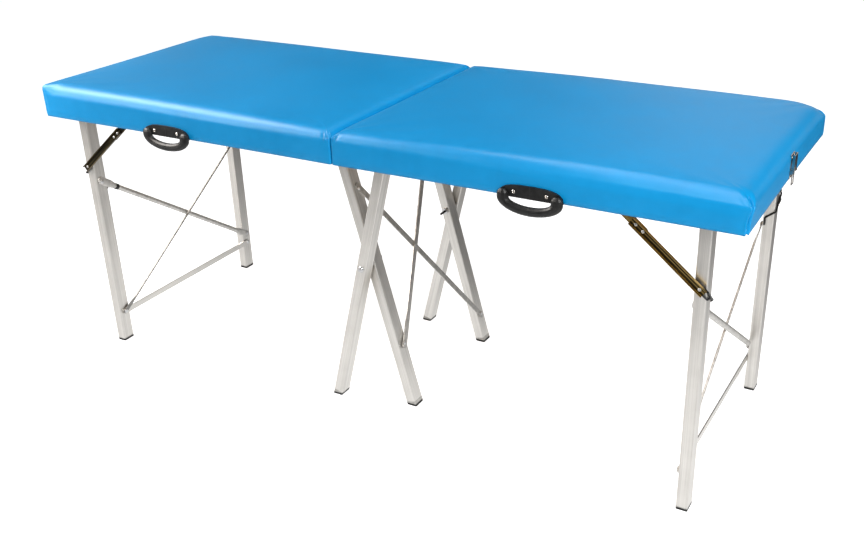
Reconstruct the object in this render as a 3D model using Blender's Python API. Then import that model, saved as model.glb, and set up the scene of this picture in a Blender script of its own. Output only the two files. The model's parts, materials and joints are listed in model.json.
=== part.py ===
"""Folding massage table: two padded halves joined by a piano hinge, an outer leg frame under
each end, crossed centre legs, hooked leg stays, carrying handles and a case latch.

Metres, +Z up, standing on z = 0. +X runs along the table, and the handles are on the -Y side.
"""

import math

import bmesh
import bpy
from mathutils import Matrix, Vector

# Overall sizes
TABLE_LENGTH = 1.800
TABLE_WIDTH = 0.650
SKIRT_EDGE = 0.660  # floor to the skirt's lower edge
RIM_RISE = 0.074  # skirt's lower edge to the pad's rim
SEAM_GAP = 0.002  # between the two halves
FIT = 0.0003  # between pieces that rest on each other
RUN = 0.0004  # round a pin that turns in a hole

# Upholstery
COVER = 0.005  # vinyl and thin foam over the rails
EDGE_RADIUS = 0.022
CORNER_RADIUS = 0.012
CROWN = 0.006
SIDE_DRAW = 0.002  # how far the sides pull in between their corners

# Box frame under each pad
RAIL_THICKNESS = 0.018
RAIL_HEIGHT = 0.040
BOARD_THICKNESS = 0.008

# Leg tube, the same on all eight legs
TUBE_X = 0.025
TUBE_Y = 0.035
TUBE_WALL = 0.002
TUBE_CORNER = 0.002  # outer corner radius of the extrusion
FOOT_HEIGHT = 0.008
FOOT_STEM = 0.015
PIVOT_RISE = 0.016  # leg pivots above the skirt's lower edge

# Outer legs
LEG_INSET = 0.0845  # end of the table to the leg's middle
LEG_PIN_RADIUS = 0.004
BRACKET_SHEET = 0.0025
BRACKET_LENGTH = 0.044
BRACKET_NOSE = 0.011

# Bracing of an outer leg frame
DIAGONAL_RADIUS = 0.007
DIAGONAL_DROP = 0.182  # tube's near end below the skirt's lower edge
DIAGONAL_FAR_Z = 0.116
ROD_RADIUS = 0.003
ROD_DROP = 0.217  # rod's far end below the skirt's lower edge
CROSSBAR_Z = 0.088
CROSSBAR_WIDTH = 0.016
STRIP_THICKNESS = 0.003
FLAT_LENGTH = 0.030  # flattened end of a brace
NECK_LENGTH = 0.025  # from the flattened end to the round tube
TUBE_EYE_WIDTH = 0.020
ROD_EYE_WIDTH = 0.012
PAD_SHARE = 0.8  # spacer's width as a share of the bar's end

# Crossed centre legs
CENTRE_PIVOT_X = 0.080
CENTRE_FOOT_X = 0.0985
CENTRE_GAP = 0.0056  # between the inner and the outer centre legs
LEG_CLEAR = 0.0104  # between the outer centre legs and the folded end legs
SHAFT_RADIUS = 0.005
SHAFT_SEAT = 0.010  # depth of the shaft's hole in a side rail
BOLT_RADIUS = 0.004
BOLT_COLLAR_RADIUS = 0.010
BOLT_NUT_RADIUS = 0.008
BOLT_NUT_HEIGHT = 0.006
CENTRE_STRIP_WIDTH = 0.014
FALLING_STRIP_DROP = 0.105  # near end below the skirt's lower edge
FALLING_STRIP_FAR_Z = 0.070
RISING_STRIP_NEAR_Z = 0.153
RISING_STRIP_DROP = 0.032  # far end below the skirt's lower edge

# Leg stays
STAY_REACH = 0.192  # along the table, from the stay's pivot to the leg's middle
STAY_DROP = 0.159
STAY_PIVOT_RISE = 0.022
STAY_PIN_RADIUS = 0.003
STAY_PIN_SEAT = 0.010
STAY_BAR_WIDTH = 0.018
STAY_BAR_THICKNESS = 0.0025
STAY_BAR_LENGTH = 0.107
CHANNEL_WIDTH = 0.017
CHANNEL_DEPTH = 0.0064
CHANNEL_SHEET = 0.0015
CHANNEL_START = 0.066
CHANNEL_PAST_HOOK = 0.012
RAIL_CLEAR = 0.003  # between the channel and the rail

# Wire hook that ties a stay to its leg
HOOK_WIRE = 0.0044
HOOK_STRAND = 0.0060  # each strand from the stay's middle line
HOOK_SLOPE = 0.018  # drop across each face of the leg

# Piano hinge on the centre line
HINGE_BARREL = 0.004
HINGE_LEAF_WIDTH = 0.018
HINGE_SHEET = 0.0014
HINGE_KNUCKLES = 12
HINGE_ROLL = 320  # degrees that a knuckle wraps round the pin
HINGE_END_INSET = 0.030

# Carrying handles
HANDLE_X = 0.478
HANDLE_HALF_WIDTH = 0.0715
HANDLE_DROP = 0.034  # grip's lowest point below the skirt's lower edge
HANDLE_RISE = 0.027
HANDLE_DEPTH = 0.016
FINGER_GAP_HALF_WIDTH = 0.0455
FINGER_GAP_DROP = 0.014
GRIP_SHOULDER = 0.004  # straight rise of the grip's ends up to their round tops
HANDLE_PLATE_DEPTH = 0.006
HANDLE_PLATE_INSET = 0.002
HANDLE_PLATE_FOOT = 0.0005
HANDLE_ARCH_POWER = 3  # 2 is an ellipse, higher is squarer

# Case latch on the right end, and its keeper on the left end
LATCH_FOOT = 0.004  # latch plate above the skirt's lower edge
LATCH_HEIGHT = 0.050
LATCH_WIDTH = 0.030
LATCH_SHEET = 0.002
LATCH_PIVOT_RISE = 0.014
LATCH_PIVOT_PROUD = 0.0058
LATCH_PIN_RADIUS = 0.0015
LATCH_EAR_RADIUS = 0.0042
LEVER_LENGTH = 0.036
LEVER_PLATE_START = 0.014
LEVER_SHEET = 0.0014
LEVER_WIDTH = 0.0228
LEVER_DEPTH = 0.0066
LOOP_WIRE = 0.0025
LOOP_PIVOT = 0.008  # loop's pivot along the lever
LOOP_DROP = 0.036
KEEPER_HEIGHT = 0.024
KEEPER_LIP = 0.007

# Smoothness of round forms
SHARP_ANGLE = 50  # degrees between faces that stay a crisp edge
ROUND_SIDES = 12
WIRE_SIDES = 8
CORNER_STEPS = 4
TUBE_CORNER_STEPS = 2
SIDE_STEPS = 6
EDGE_STEPS = 5
CROWN_STEPS = 3
DOME_STEPS = 3

# Places that follow from the sizes above
HALF_LENGTH = TABLE_LENGTH / 2
HALF_WIDTH = TABLE_WIDTH / 2
RIM = SKIRT_EDGE + RIM_RISE
PIVOT_Z = SKIRT_EDGE + PIVOT_RISE
RAIL_OUT_Y = HALF_WIDTH - COVER - FIT
RAIL_IN_Y = RAIL_OUT_Y - RAIL_THICKNESS
LEG_X = HALF_LENGTH - LEG_INSET
LEG_FACE_Y = RAIL_IN_Y - RAIL_CLEAR - CHANNEL_DEPTH - HOOK_WIRE - 3 * RUN
LEG_Y = LEG_FACE_Y - TUBE_Y / 2
LEG_FACE_X = LEG_X - TUBE_X / 2
DIAGONAL_NEAR_Z = SKIRT_EDGE - DIAGONAL_DROP
ROD_FAR_Z = SKIRT_EDGE - ROD_DROP
CENTRE_OUT_Y = LEG_Y - TUBE_Y - LEG_CLEAR
CENTRE_IN_Y = CENTRE_OUT_Y - TUBE_Y - CENTRE_GAP
FALLING_STRIP_NEAR_Z = SKIRT_EDGE - FALLING_STRIP_DROP
RISING_STRIP_FAR_Z = SKIRT_EDGE - RISING_STRIP_DROP
CROSS_Z = PIVOT_Z * CENTRE_FOOT_X / (CENTRE_FOOT_X + CENTRE_PIVOT_X)
STAY_X = LEG_X - STAY_REACH
STAY_Z = SKIRT_EDGE + STAY_PIVOT_RISE
STAY_Y = LEG_FACE_Y + HOOK_WIRE + 3 * RUN
STAY_LENGTH = math.hypot(STAY_REACH, STAY_DROP)
HINGE_Z = SKIRT_EDGE - FIT - HINGE_BARREL
SKIRT_Y = HALF_WIDTH - SIDE_DRAW + FIT  # where a flat plate meets the drawn-in side
SKIRT_X = HALF_LENGTH - SIDE_DRAW + FIT
LATCH_PROUD = LATCH_PIVOT_PROUD + max(LATCH_EAR_RADIUS, LEVER_DEPTH / 2)
TABLE_Y = (SKIRT_Y + HANDLE_DEPTH - HALF_WIDTH) / 2  # sets the origin below the middle of the box


def clear_scene():
    """Remove whatever the scene held before."""
    for piece in list(bpy.data.objects):
        bpy.data.objects.remove(piece, do_unlink=True)


def finish(name, colour, roughness, metallic=0.0):
    """A Principled material."""
    material = bpy.data.materials.new(name)
    material.use_nodes = True
    shader = material.node_tree.nodes["Principled BSDF"]
    shader.inputs["Base Color"].default_value = (*colour, 1.0)
    shader.inputs["Roughness"].default_value = roughness
    shader.inputs["Metallic"].default_value = metallic
    return material


def smooth(mesh):
    """Shade round faces smooth and keep the crisp edges."""
    mesh.shade_smooth()
    mesh.set_sharp_from_angle(angle=math.radians(SHARP_ANGLE))


def piece_from(name, bm, material):
    """Turn a closed bmesh into a named object with its faces pointing out."""
    bmesh.ops.recalc_face_normals(bm, faces=bm.faces)
    mesh = bpy.data.meshes.new(name)
    bm.to_mesh(mesh)
    bm.free()
    smooth(mesh)
    mesh.materials.append(material)
    piece = bpy.data.objects.new(name, mesh)
    bpy.context.scene.collection.objects.link(piece)
    return piece


def loft(rings):
    """A closed solid through rings of equal count, with flat ends."""
    bm = bmesh.new()
    loops = [[bm.verts.new(point) for point in ring] for ring in rings]
    count = len(rings[0])
    for low, high in zip(loops, loops[1:]):
        for i in range(count):
            j = (i + 1) % count
            bm.faces.new((low[i], low[j], high[j], high[i]))
    bm.faces.new(loops[0])
    bm.faces.new(loops[-1])
    return bm


def prism(outline, along):
    """An outline of 3-D points drawn out by a vector."""
    return loft([outline, [point + along for point in outline]])


def pipe(outer, inner, along):
    """Two outlines of equal count, one inside the other, drawn out into an open pipe."""
    bm = bmesh.new()
    rings = (outer, [p + along for p in outer], [p + along for p in inner], inner)
    loops = [[bm.verts.new(point) for point in ring] for ring in rings]
    count = len(outer)
    for low, high in zip(loops, loops[1:] + loops[:1]):
        for i in range(count):
            j = (i + 1) % count
            bm.faces.new((low[i], low[j], high[j], high[i]))
    return bm


def box(low, high):
    """A plain block between two corners."""
    x0, y0, z0 = low
    x1, y1, z1 = high
    base = [Vector(p) for p in ((x0, y0, z0), (x1, y0, z0), (x1, y1, z0), (x0, y1, z0))]
    return prism(base, Vector((0, 0, z1 - z0)))


def circle(centre, radius, side_a, side_b, sides=ROUND_SIDES):
    """Points round a centre, in the plane of two unit vectors."""
    turns = (2 * math.pi * i / sides for i in range(sides))
    return [centre + radius * (math.cos(a) * side_a + math.sin(a) * side_b) for a in turns]


def turned(centre, profile, sides=ROUND_SIDES):
    """A solid turned about a line along Y, from (radius, y) stations."""
    across, up = Vector((1, 0, 0)), Vector((0, 0, 1))
    return loft([circle(centre + Vector((0, y, 0)), r, across, up, sides) for r, y in profile])


def hole_radius(pin_radius):
    """Corner radius of a faceted hole whose flats clear a pin at any turn."""
    return (pin_radius + RUN) / math.cos(math.pi / ROUND_SIDES)


def swept(path, section):
    """A section of (u, v) points carried along a path without twist."""
    tangents = []
    for i, point in enumerate(path):
        before = path[max(i - 1, 0)]
        after = path[min(i + 1, len(path) - 1)]
        tangents.append((after - before).normalized())
    across, along = Vector((0, 1, 0)), Vector((1, 0, 0))
    normal = min((across, along), key=lambda axis: abs(axis.dot(tangents[0])))
    normal = (normal - tangents[0] * normal.dot(tangents[0])).normalized()
    rings = []
    for point, tangent in zip(path, tangents):
        normal = (normal - tangent * normal.dot(tangent)).normalized()
        binormal = tangent.cross(normal)
        rings.append([point + u * normal + v * binormal for u, v in section])
    return loft(rings)


def oval(half_u, half_v, sides):
    """Section points of an ellipse."""
    turns = (2 * math.pi * i / sides for i in range(sides))
    return [(half_u * math.cos(a), half_v * math.sin(a)) for a in turns]


def filleted(points, radius, steps=3):
    """The same path with each corner bent to an arc."""
    path = [points[0]]
    for before, corner, after in zip(points, points[1:], points[2:]):
        u = (before - corner).normalized()
        v = (after - corner).normalized()
        opening = u.angle(v)
        reach = radius / math.tan(opening / 2)
        centre = corner + (u + v).normalized() * radius / math.sin(opening / 2)
        start = corner + u * reach - centre
        end = corner + v * reach - centre
        turn = math.pi - opening
        for i in range(steps + 1):
            share = i / steps
            first = math.sin((1 - share) * turn) / math.sin(turn)
            last = math.sin(share * turn) / math.sin(turn)
            path.append(centre + first * start + last * end)
    path.append(points[-1])
    return path


def combined(piece, bm, operation):
    """Cut a solid out of a piece, or join or meet it, and keep the result as the piece's mesh."""
    tool = piece_from(piece.name + "_tool", bm, piece.data.materials[0])
    step = piece.modifiers.new("step", "BOOLEAN")
    step.operation = operation
    step.solver = "EXACT"
    step.object = tool
    view = bpy.context.evaluated_depsgraph_get()
    view.update()
    mesh = bpy.data.meshes.new_from_object(piece.evaluated_get(view))
    piece.modifiers.clear()
    smooth(mesh)
    piece.data = mesh
    bpy.data.objects.remove(tool, do_unlink=True)
    return piece


def side_by_side(parts):
    """Several separate solids in one bmesh, as one cutting tool."""
    whole = bmesh.new()
    for part in parts:
        bmesh.ops.recalc_face_normals(part, faces=part.faces)
        mesh = bpy.data.meshes.new("part")
        part.to_mesh(mesh)
        part.free()
        whole.from_mesh(mesh)
        bpy.data.meshes.remove(mesh)
    return whole


def axis_empty(name, place, parent):
    """An empty on a joint's axis, in table coordinates."""
    empty = bpy.data.objects.new(name, None)
    bpy.context.scene.collection.objects.link(empty)
    empty.parent = parent
    offset = Vector(parent["place"]) if parent else Vector()
    empty.location = Vector(place) - offset
    empty["place"] = tuple(place)
    return empty


def carry(pieces, empty):
    """Hang pieces modelled in table coordinates on a joint's empty."""
    for piece in pieces:
        piece.data.transform(Matrix.Translation(-Vector(empty["place"])))
        piece.parent = empty


def rounded_ring(low, high, radius, draw, z):
    """A rectangle with round corners whose sides pull in between them."""
    centres = (
        (high[0] - radius, low[1] + radius),
        (high[0] - radius, high[1] - radius),
        (low[0] + radius, high[1] - radius),
        (low[0] + radius, low[1] + radius),
    )
    ring = []
    for quarter, (cx, cy) in enumerate(centres):
        for step in range(CORNER_STEPS + 1):
            a = math.radians(90 * (quarter - 1 + step / CORNER_STEPS))
            ring.append(Vector((cx + radius * math.cos(a), cy + radius * math.sin(a), z)))
        out = Vector((round(math.cos(a)), round(math.sin(a)), 0))
        start = ring[-1]
        end = Vector((*centres[(quarter + 1) % 4], z)) + out * radius
        for step in range(1, SIDE_STEPS):
            share = step / SIDE_STEPS
            pull = draw * (1 - (2 * share - 1) ** 2)
            ring.append(start.lerp(end, share) - out * pull)
    return ring


def pad_profile():
    """(inset, height) stations of a pad, from the skirt's lower edge over the rim to the crown."""
    stations = [(0.0, SKIRT_EDGE)]
    for step in range(EDGE_STEPS + 1):
        a = math.radians(90 * step / EDGE_STEPS)
        stations.append((EDGE_RADIUS * (1 - math.cos(a)), RIM - EDGE_RADIUS * (1 - math.sin(a))))
    flat = HALF_WIDTH - EDGE_RADIUS - 2 * CORNER_RADIUS
    for step in range(1, CROWN_STEPS + 1):
        share = step / CROWN_STEPS
        rise = CROWN * (1 - (1 - share) ** 2)
        stations.append((EDGE_RADIUS + flat * share, RIM + rise))
    return stations


def half_span(side, inset=0.0):
    """Lowest and highest x of one half, drawn in by an inset."""
    ends = (side * (SEAM_GAP / 2 + inset), side * (HALF_LENGTH - inset))
    return min(ends), max(ends)


def cushion(name, side, vinyl):
    """Foam pad and its vinyl cover in one form, open below for the board and the rails."""
    rings = []
    for inset, z in pad_profile():
        x0, x1 = half_span(side, inset)
        low, high = (x0, inset - HALF_WIDTH), (x1, HALF_WIDTH - inset)
        rings.append(rounded_ring(low, high, CORNER_RADIUS, SIDE_DRAW, z))
    pad = piece_from(name, loft(rings), vinyl)
    x0, x1 = half_span(side, COVER)
    roof = SKIRT_EDGE + RAIL_HEIGHT + BOARD_THICKNESS + 2 * FIT
    bay = box((x0, COVER - HALF_WIDTH, SKIRT_EDGE - COVER), (x1, HALF_WIDTH - COVER, roof))
    return combined(pad, bay, "DIFFERENCE")


def box_frame(name, side, wood):
    """Four rails glued into a ring, with the holes for the centre shaft and the stay pins."""
    x0, x1 = half_span(side, COVER + FIT)
    inner_x = (x0 + RAIL_THICKNESS, x1 - RAIL_THICKNESS)
    outer = rectangle((x0, x1), (-RAIL_OUT_Y, RAIL_OUT_Y), SKIRT_EDGE)
    inner = rectangle(inner_x, (-RAIL_IN_Y, RAIL_IN_Y), SKIRT_EDGE)
    frame = piece_from(name, pipe(outer, inner, Vector((0, 0, RAIL_HEIGHT - FIT))), wood)
    holes = []
    for edge in (-1, 1):
        shaft = Vector((side * CENTRE_PIVOT_X, 0, PIVOT_Z))
        stay = Vector((side * STAY_X, 0, STAY_Z))
        for place, radius, seat in (
            (shaft, SHAFT_RADIUS, SHAFT_SEAT),
            (stay, STAY_PIN_RADIUS, STAY_PIN_SEAT),
        ):
            wall = hole_radius(radius)
            ends = (edge * (RAIL_IN_Y - COVER), edge * (RAIL_IN_Y + seat + FIT))
            holes.append(turned(place, [(wall, y) for y in ends]))
    return combined(frame, side_by_side(holes), "DIFFERENCE")


def rectangle(xs, ys, z):
    """Four corners at one height."""
    corners = ((xs[0], ys[0]), (xs[1], ys[0]), (xs[1], ys[1]), (xs[0], ys[1]))
    return [Vector((x, y, z)) for x, y in corners]


def board(name, side, wood):
    """Plywood panel on top of the rails."""
    x0, x1 = half_span(side, COVER + FIT)
    z0 = SKIRT_EDGE + RAIL_HEIGHT
    return piece_from(name, box((x0, -RAIL_OUT_Y, z0), (x1, RAIL_OUT_Y, z0 + BOARD_THICKNESS)), wood)


def hinge_leaf(name, side, metal):
    """One leaf of the piano hinge: a strip under the centre rail with rolled knuckles."""
    length = TABLE_WIDTH - 2 * HINGE_END_INSET
    start = -length / 2
    top = SKIRT_EDGE - FIT
    inner = HINGE_BARREL + 2 * FIT
    xs = sorted((side * inner, side * HINGE_LEAF_WIDTH))
    strip = piece_from(name, box((xs[0], start, top - HINGE_SHEET), (xs[1], -start, top)), metal)
    first = 0 if side < 0 else 1
    pitch = length / HINGE_KNUCKLES
    knuckles = []
    for index in range(first, HINGE_KNUCKLES, 2):
        y = start + index * pitch + FIT
        outline = [Vector((side * x, y, HINGE_Z + z)) for x, z in knuckle_outline(inner)]
        knuckles.append(prism(outline, Vector((0, pitch - 2 * FIT, 0))))
    return combined(strip, side_by_side(knuckles), "UNION")


def knuckle_outline(inner):
    """A strip's edge rolled round the hinge pin, seen along the pin, as (x, z) from its axis."""
    bore = HINGE_BARREL - HINGE_SHEET
    root = inner + HINGE_SHEET
    turns = [math.radians(90 + HINGE_ROLL * i / ROUND_SIDES) for i in range(ROUND_SIDES + 1)]
    rolled = [(HINGE_BARREL * math.cos(a), HINGE_BARREL * math.sin(a)) for a in turns]
    hollow = [(bore * math.cos(a), bore * math.sin(a)) for a in reversed(turns)]
    return [(root, HINGE_BARREL), *rolled, *hollow, (root, bore)]


def hinge_pin(name, metal):
    """Wire pin through all knuckles."""
    reach = TABLE_WIDTH / 2 - HINGE_END_INSET
    radius = HINGE_BARREL - HINGE_SHEET - RUN
    ends = [(radius, -reach), (radius, reach)]
    return piece_from(name, turned(Vector((0, 0, HINGE_Z)), ends, WIRE_SIDES), metal)


def leg_line(foot_x, top_x):
    """Foot point, pivot point and unit direction of a leg's middle line in the XZ plane."""
    foot = Vector((foot_x, 0, 0))
    top = Vector((top_x, 0, PIVOT_Z))
    return foot, top, (top - foot).normalized()


def leg_section(centre, up, inset):
    """A tube's cross-section square to its line, with small round corners, drawn in by an inset."""
    half_x, half_y = TUBE_X / 2 - inset, TUBE_Y / 2 - inset
    radius = TUBE_CORNER - inset / 2
    across = Vector((up.z, 0, -up.x))
    deep = Vector((0, 1, 0))
    section = []
    for quarter, (way_x, way_y) in enumerate(((1, 1), (-1, 1), (-1, -1), (1, -1))):
        corner = centre + across * way_x * (half_x - radius) + deep * way_y * (half_y - radius)
        for step in range(TUBE_CORNER_STEPS + 1):
            a = math.radians(90 * (quarter + step / TUBE_CORNER_STEPS))
            section.append(corner + radius * (math.cos(a) * across + math.sin(a) * deep))
    return section


def foot_level(up):
    """Distance along a leg from the floor to the tube's square-cut end."""
    return FOOT_HEIGHT + TUBE_X / 2 * abs(up.x) / up.z


def leg_tube(name, foot_x, top_x, y, pin_radius, metal, extra_holes=()):
    """Rectangular tube with its pivot holes, open at the top."""
    foot, top, up = leg_line(foot_x, top_x)
    middle = Vector((0, y, 0))
    end = foot + up * foot_level(up) + middle
    along = (top + middle + up * TUBE_X / 2) - end
    outer = leg_section(end, up, 0.0)
    inner = leg_section(end, up, TUBE_WALL)
    tube = piece_from(name, pipe(outer, inner, along), metal)
    ends = (y - TUBE_Y, y + TUBE_Y)
    places = [(top, pin_radius), *extra_holes]
    holes = [turned(place, [(hole_radius(r), end_y) for end_y in ends]) for place, r in places]
    return combined(tube, side_by_side(holes), "DIFFERENCE")


def leg_foot(name, foot_x, top_x, y, plastic):
    """Plug in the tube's end, with a sole cut level with the floor."""
    foot, _, up = leg_line(foot_x, top_x)
    end = foot + up * (foot_level(up) - FIT) + Vector((0, y, 0))
    collar = leg_section(end, up, 0.0)
    stem = leg_section(end, up, TUBE_WALL + FIT)
    sole = [point - up * (point.z / up.z) for point in collar]
    return piece_from(name, loft([[p + up * FOOT_STEM for p in stem], stem, collar, sole]), plastic)


def leg_bracket(name, side, edge, metal):
    """Folded sheet bracket under the board, with the riveted pin that the leg turns on."""
    cheek = TUBE_Y / 2 + RUN
    outside = cheek + BRACKET_SHEET
    roof = SKIRT_EDGE + RAIL_HEIGHT - FIT
    floor = PIVOT_Z - 2 * BRACKET_NOSE
    under = roof - BRACKET_SHEET
    section = [(-outside, roof), (outside, roof), (outside, floor), (cheek, floor)]
    section += [(cheek, under), (-cheek, under), (-cheek, floor), (-outside, floor)]
    x0 = side * LEG_X - BRACKET_LENGTH / 2
    outline = [Vector((x0, edge * LEG_Y + y, z)) for y, z in section]
    bracket = piece_from(name, prism(outline, Vector((BRACKET_LENGTH, 0, 0))), metal)
    pivot = Vector((side * LEG_X, edge * LEG_Y - 2 * TUBE_Y, PIVOT_Z))
    shape = [pivot + Vector((BRACKET_LENGTH / 2 * s, 0, roof - PIVOT_Z + FIT)) for s in (-1, 1)]
    nose = [math.radians(-180 * i / ROUND_SIDES) for i in range(ROUND_SIDES + 1)]
    shape += [pivot + BRACKET_NOSE * Vector((math.cos(a), 0, math.sin(a))) for a in nose]
    combined(bracket, prism(shape, Vector((0, 4 * TUBE_Y, 0))), "INTERSECT")
    reach = outside + FIT
    pin = [(LEG_PIN_RADIUS, -reach), (LEG_PIN_RADIUS, reach)]
    return combined(bracket, turned(Vector((side * LEG_X, edge * LEG_Y, PIVOT_Z)), pin), "UNION")


def brace(name, ends, sizes, away, bend, metal, pad_ends=()):
    """Round bar between two points, with its ends pressed flat against a face.

    away points off the face that carries it. The round middle lifts off the face with bend 1
    and sinks back with bend -1. An end in pad_ends stands on a spacer as thick as a strip."""
    start, end = ends
    radius, eye_width = sizes
    run = (end - start).normalized()
    across = away.cross(run)
    length = (end - start).length
    flat = STRIP_THICKNESS / 2
    half_eye = eye_width / 2
    shift = bend * (radius - flat)
    stations = [(-half_eye, half_eye / 2, flat, 0), (-half_eye / 2, half_eye, flat, 0)]
    stations += [(FLAT_LENGTH, half_eye, flat, 0), (FLAT_LENGTH + NECK_LENGTH, radius, radius, shift)]
    stations += [(length - s, w, h, lift) for s, w, h, lift in reversed(stations)]
    rings = []
    for s, half_w, half_h, lift in stations:
        centre = start + run * s + away * lift
        section = oval(half_w, half_h, ROUND_SIDES)
        rings.append([centre + across * u + away * v for u, v in section])
    bar = piece_from(name, loft(rings), metal)
    for point in pad_ends:
        reach = flat + STRIP_THICKNESS
        ring = circle(point - away * reach, half_eye * PAD_SHARE, run, across)
        combined(bar, prism(ring, away * reach), "UNION")
    return bar


def strip(name, start, end, width, away, metal, pad_height=0.0):
    """Flat bar with round ends. With a pad height, each end stands on a round spacer."""
    run = (end - start).normalized()
    across = away.cross(run)
    half = width / 2
    low = away * -STRIP_THICKNESS / 2
    outline = []
    for centre, way in ((end, 1), (start, -1)):
        for i in range(ROUND_SIDES // 2 + 1):
            a = math.radians(-90 + 180 * i / (ROUND_SIDES // 2))
            outline.append(centre + low + half * way * (math.cos(a) * run + math.sin(a) * across))
    bar = piece_from(name, prism(outline, away * STRIP_THICKNESS), metal)
    if pad_height:
        reach = STRIP_THICKNESS / 2 + pad_height - FIT
        for point in (start, end):
            ring = circle(point - away * reach, half * PAD_SHARE, run, across)
            combined(bar, prism(ring, away * reach), "UNION")
    return bar


def outer_leg_frame(name, side, table, finishes):
    """Two legs, their feet and the bracing between them, all turning on one axis."""
    metal, plastic = finishes["aluminium"], finishes["plastic"]
    axis = axis_empty(name + "_axis", (side * LEG_X, 0, PIVOT_Z), table)
    pieces = []
    for edge, word in ((-1, "near"), (1, "far")):
        x, y = side * LEG_X, edge * LEG_Y
        pieces.append(leg_tube(f"{name}_{word}_leg", x, x, y, LEG_PIN_RADIUS, metal))
        pieces.append(leg_foot(f"{name}_{word}_foot", x, x, y, plastic))
        pieces.append(stay_hook(f"{name}_{word}_stay_hook", side, edge, finishes["wire"]))
    away = Vector((-side, 0, 0))
    face = side * LEG_FACE_X
    first = face - side * (FIT + STRIP_THICKNESS / 2)
    second = first - side * (FIT + STRIP_THICKNESS)
    near_low = Vector((first, -LEG_Y, CROSSBAR_Z))
    far_low = Vector((first, LEG_Y, CROSSBAR_Z))
    pieces.append(strip(name + "_crossbar", near_low, far_low, CROSSBAR_WIDTH, away, metal))
    tube_ends = (Vector((first, -LEG_Y, DIAGONAL_NEAR_Z)), Vector((first, LEG_Y, DIAGONAL_FAR_Z)))
    tube_sizes = (DIAGONAL_RADIUS, TUBE_EYE_WIDTH)
    pieces.append(brace(name + "_diagonal_tube", tube_ends, tube_sizes, away, -1, metal))
    rod_ends = (Vector((second, -LEG_Y, CROSSBAR_Z)), Vector((second, LEG_Y, ROD_FAR_Z)))
    rod_sizes = (ROD_RADIUS, ROD_EYE_WIDTH)
    pieces.append(brace(name + "_diagonal_rod", rod_ends, rod_sizes, away, 1, metal, rod_ends[1:]))
    carry(pieces, axis)


def centre_legs(name, lean, half_y, axis, finishes):
    """A near and a far leg that cross the other pair. lean is the side of their feet."""
    pieces = []
    foot_x, top_x = lean * CENTRE_FOOT_X, -lean * CENTRE_PIVOT_X
    crossing = [(Vector((0, 0, CROSS_Z)), BOLT_RADIUS)] if half_y == CENTRE_IN_Y else []
    for edge, word in ((-1, "near"), (1, "far")):
        y = edge * half_y
        tube = (f"{name}_{word}_leg", foot_x, top_x, y, SHAFT_RADIUS, finishes["aluminium"], crossing)
        pieces.append(leg_tube(*tube))
        pieces.append(leg_foot(f"{name}_{word}_foot", foot_x, top_x, y, finishes["plastic"]))
    carry(pieces, axis)


def cross_bolt(name, edge, metal):
    """Bolt through an inner centre leg, with the collar that the outer leg bears on."""
    stations = (
        (BOLT_NUT_RADIUS, CENTRE_IN_Y - TUBE_Y / 2 - FIT - BOLT_NUT_HEIGHT),
        (BOLT_NUT_RADIUS, CENTRE_IN_Y - TUBE_Y / 2 - FIT),
        (BOLT_RADIUS, CENTRE_IN_Y - TUBE_Y / 2 - FIT),
        (BOLT_RADIUS, CENTRE_IN_Y + TUBE_Y / 2 + FIT),
        (BOLT_COLLAR_RADIUS, CENTRE_IN_Y + TUBE_Y / 2 + FIT),
        (BOLT_COLLAR_RADIUS, CENTRE_IN_Y + TUBE_Y / 2 + CENTRE_GAP - FIT),
    )
    profile = [(radius, edge * y) for radius, y in stations]
    return piece_from(name, turned(Vector((0, 0, CROSS_Z)), profile), metal)


def centre_bracing(axis, finishes):
    """Two flat bars crossed between the inner centre legs, on their right faces."""
    foot, _, up = leg_line(CENTRE_FOOT_X, -CENTRE_PIVOT_X)
    away = Vector((up.z, 0, -up.x))
    metal = finishes["aluminium"]

    def on_leg(edge, z, lift):
        return foot + up * (z / up.z) + away * (TUBE_X / 2 + lift) + Vector((0, edge * CENTRE_IN_Y, 0))

    low = FIT + STRIP_THICKNESS / 2
    high = low + FIT + STRIP_THICKNESS
    bars = (
        ("centre_brace_falling", FALLING_STRIP_NEAR_Z, FALLING_STRIP_FAR_Z, low, 0.0),
        ("centre_brace_rising", RISING_STRIP_NEAR_Z, RISING_STRIP_FAR_Z, high, STRIP_THICKNESS + FIT),
    )
    pieces = []
    for name, near_z, far_z, lift, pad in bars:
        start, end = on_leg(-1, near_z, lift), on_leg(1, far_z, lift)
        pieces.append(strip(name, start, end, CENTRE_STRIP_WIDTH, away, metal, pad))
    for edge, word in ((-1, "near"), (1, "far")):
        pieces.append(cross_bolt(f"centre_{word}_cross_bolt", edge, finishes["steel"]))
    carry(pieces, axis)


def centre_shaft(name, side, metal):
    """Rod from rail to rail that a pair of centre legs turns on."""
    reach = RAIL_IN_Y + SHAFT_SEAT
    ends = [(SHAFT_RADIUS, -reach), (SHAFT_RADIUS, reach)]
    return piece_from(name, turned(Vector((side * CENTRE_PIVOT_X, 0, PIVOT_Z)), ends), metal)


def stay_lines(side):
    """Pivot, unit run towards the leg and unit normal of a stay, in the XZ plane."""
    pivot = Vector((side * STAY_X, 0, STAY_Z))
    run = Vector((side * STAY_REACH, 0, -STAY_DROP)).normalized()
    return pivot, run, Vector((run.z, 0, -run.x))


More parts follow.
